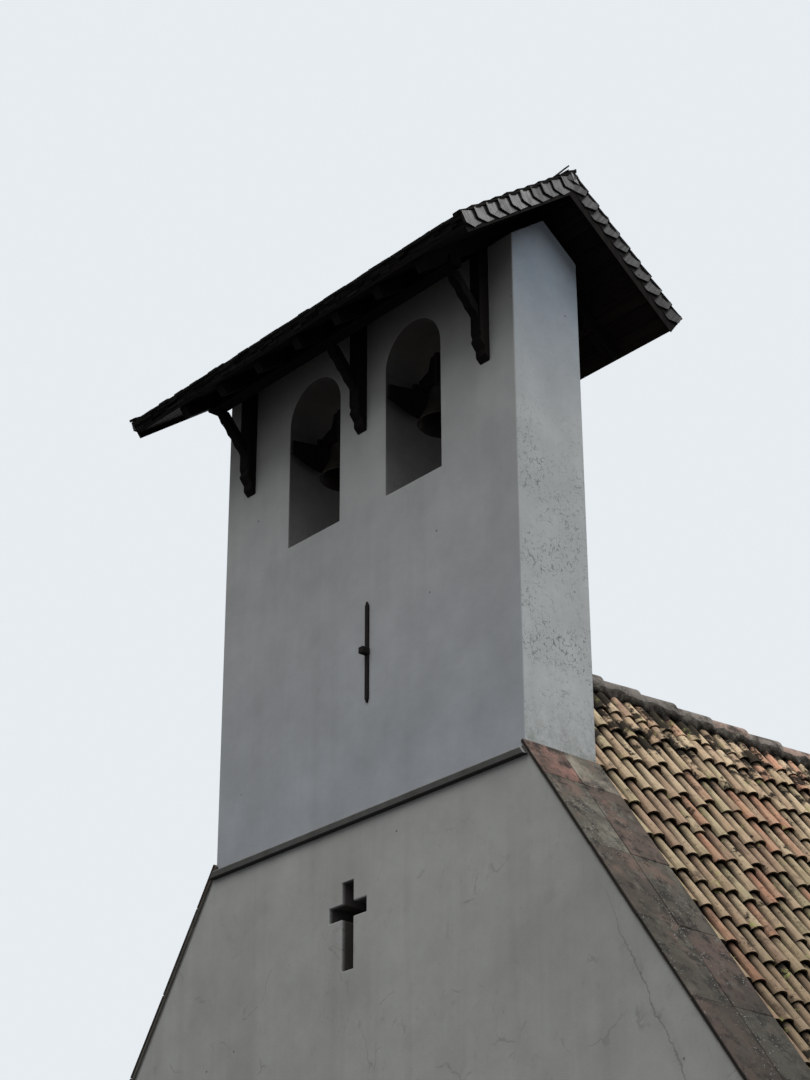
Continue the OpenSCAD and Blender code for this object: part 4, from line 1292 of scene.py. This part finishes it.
# %% Dark timber
for node, width, finish in (
    ("wall_posts", 0.008, DARK), ("bracket_struts", 0.005, DARK), ("eave_beams", 0.007, DARK_ALONG),
    ("rafters_front", 0.005, DARK_BACK), ("rafters_rear", 0.005, DARK_BACK), ("door_lintel", 0.012, NAVE_BOARD),
):
    dress(node, node + "_hewn", width, "dark_timber", finish)

# %% [markdown]
# ## Bells
#
# A bell is a turned shape: its outline runs from the middle of the crown over the shoulder and waist to the
# lip, and back up on the inside. The outline is smoothed through a few measured points and turned around the
# bell's axis. Raised rings mark the shoulder and the sound bow.

# %% Turn the bells
BELL_TALL, BELL_ROOF = 0.34, 0.912
BELL_OUTER = np.array([
    (0.42, 1.0), (0.54, 0.935), (0.59, 0.83), (0.635, 0.62), (0.715, 0.42), (0.83, 0.24), (0.95, 0.10), (1.0, 0.03),
])
BELL_INNER = np.array([
    (0.955, 0.0), (0.88, 0.06), (0.75, 0.2), (0.64, 0.38), (0.57, 0.56), (0.52, 0.72), (0.46, 0.86),
    (0.36, BELL_ROOF),
])
BELL_RINGS = ((0.86, 0.020), (0.80, 0.012), (0.30, 0.016), (0.16, 0.020))


def turned(name, outline, middle, steps=72):
    """Points (r cos a, r sin a, z) for every outline point and every angle. Both ends lie at r = 0."""
    angle = np.linspace(0, 2 * np.pi, steps, endpoint=False)
    r, z = outline[1:-1, 0][:, None], outline[1:-1, 1][:, None]
    ring = table(r * np.cos(angle), r * np.sin(angle), z).reshape(-1, 3)
    points = np.concatenate([ring, [[0, 0, outline[0, 1]], [0, 0, outline[-1, 1]]]]) + middle
    quads = ring_quads(len(outline) - 2, steps)[:, [0, 3, 2, 1]]
    spot, top = np.arange(steps), len(ring) - steps
    after = (spot + 1) % steps
    first, last = table(len(ring), spot, after), table(len(ring) + 1, top + after, top + spot)
    return put_mesh(name, points, quads, first, last, smooth=True)


def smooth_line(points, steps):
    """A curve through points, by the cubic rule of Catmull and Rom, worked out for all pieces at once."""
    p = np.concatenate([points[:1], points, points[-1:]])
    t = np.linspace(0, 1, steps, endpoint=False)[:, None, None]
    a, b, c, d = p[:-3], p[1:-2], p[2:-1], p[3:]
    curve = b + 0.5 * t * ((c - a) + t * (2 * a - 5 * b + 4 * c - d + t * (3 * b - 3 * c + d - a)))
    return np.concatenate([curve.transpose(1, 0, 2).reshape(-1, points.shape[1]), points[-1:]])


def make_bell(word, body):
    """Outer line from crown to lip, with rings pushed out of it, then the inner line back up."""
    low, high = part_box("bell_" + word)
    middle = np.array([(low.x + high.x) / 2, (low.y + high.y) / 2, low.z])
    line = smooth_line(BELL_OUTER, 12)
    rings = sum(wide * np.exp(-(((line[:, 1] - z) / 0.010) ** 2)) for z, wide in BELL_RINGS)
    line[:, 0] = np.minimum(line[:, 0] + rings, 1.0)
    outline = np.concatenate([[(0, 1.0)], line, smooth_line(BELL_INNER, 6), [(0, BELL_ROOF)]])
    bell = turned("bell_cast_" + word, outline[::-1] * ((high.x - low.x) / 2, BELL_TALL), middle)
    crown = blocks([[0.065, 0.060, 0.032]], 0.012) + (middle + (0, 0, BELL_TALL)) + (0, 0, 0.030)
    show(bell, body, "bronze", BRONZE, "bell_" + word)
    show(put_blocks("bell_crown_" + word, crown), body, "bronze", BRONZE)


# %% [markdown]
# Headstock, lever, irons and clapper swing with their bell. In the model a pin has just as much play in its
# bore as round shapes need, and a mesh has corners, so the pins get half a millimetre more play here.

# %% Hang the bells
SWING_Z = 11.33
PIN_REACH, PIN_SHARE = 0.0201, 0.975


def thinner_pins(obj):
    """Points at most 20.1 mm from the axis of the swing go 2.5 percent nearer to it."""
    points = np.empty(len(obj.data.vertices) * 3, np.float32)
    obj.data.vertices.foreach_get("co", points)
    points = points.reshape(-1, 3)
    out = points[:, 1:] - (MID_Y, SWING_Z)
    near = np.hypot(*out.T) < PIN_REACH
    points[near, 1:] -= (1 - PIN_SHARE) * out[near]
    obj.data.vertices.foreach_set("co", points.ravel())
    obj.data.update()


for word, body in (("left", "left_bell"), ("right", "right_bell")):
    make_bell(word, body)
    for node, name, slot, finish, width in (
        ("headstock_", "headstock_hewn_", "dark_timber", DARK_ALONG, 0.008),
        ("lever_", "lever_board_", "dark_timber", DARK, 0.004),
        ("bell_irons_", "irons_forged_", "iron", IRON, 0.0015),
        ("clapper_", "clapper_forged_", "iron", IRON, 0.002),
    ):
        piece = softened(merged_copy(name + word, node + word), width)
        if node == "bell_irons_":
            thinner_pins(piece)
        show(piece, body, slot, finish, node + word)
dress("bell_bearings", "bearings_forged", 0.002, "iron", IRON)

# %% [markdown]
# ## Wall anchor
#
# The iron bar on the front ties the wall to a rod behind it. A key through the rod's eye holds it.

# %% Anchor
dress("wall_anchor", "wall_anchor_forged", 0.003, "iron", IRON)

# %% [markdown]
# ## Doorway, floor and windows
#
# What the photo doesn't show is plain: planked leaves on ledges, stone flags, and small windows with bars.

# %% Door leaves and floor
def door_boards(count=5, deep=0.05):
    """Upright boards and three ledges behind them for each leaf, both flat against the side of the doorway."""
    low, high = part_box("door_leaves")
    pieces, ledges = [], []
    leaf, middle_y = (high.x - low.x) / 2, (low.y + high.y) / 2
    long, tall = high.y - low.y, high.z - low.z
    y = low.y + (np.arange(count) + 0.5) * long / count
    z = low.z + tall * np.array([0.14, 0.5, 0.86])
    for side in (-1, 1):
        half = np.tile([0.015, long / count / 2 - 0.0015, tall / 2], (count, 1))
        middle = table(side * (leaf - deep + 0.015), y, (low.z + high.z) / 2)
        pieces.append(blocks(half, 0.003, wear=0.0005) + middle[:, None])
        half = np.tile([0.0095, long / 2 - 0.04, 0.07], (3, 1))
        ledges.append(blocks(half, 0.003) + table(side * (leaf - 0.0098), middle_y, z)[:, None])
    show(put_blocks("door_planks", np.concatenate(pieces + ledges)), "chapel", "door_wood", DOOR_OAK, "door_leaves")


def flagstones(across=12, along=16, half_thick=0.025):
    """Square flags laid in straight rows on the floor slab, with joints of 6 mm."""
    low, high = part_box("floor_slab")
    x, y = pairs(range(across), range(along))
    wide, long = (high.x - low.x) / across, (high.y - low.y) / along
    half = np.tile([wide / 2 - 0.003, long / 2 - 0.003, half_thick], (len(x), 1))
    middle = table(low.x + (x + 0.5) * wide, low.y + (y + 0.5) * long, high.z - half_thick)
    flags = put_blocks("floor_flags", blocks(half, 0.005, wear=0.0008) + middle[:, None])
    show(flags, "chapel", "stone_floor", STONE)


door_boards()
flagstones()
dress("threshold", "threshold_stone", 0.015, "stone_floor", STONE)

# %% Windows and the slab under the flags
dress("window_frames", "window_frames_sawn", 0.004, "door_wood", DOOR_OAK)
for node, finish in (("floor_slab", MORTAR), ("window_panes", GLASS)):
    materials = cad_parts[node].data.materials
    materials.clear()
    materials.append(finish)
print("slab and panes keep their own mesh")
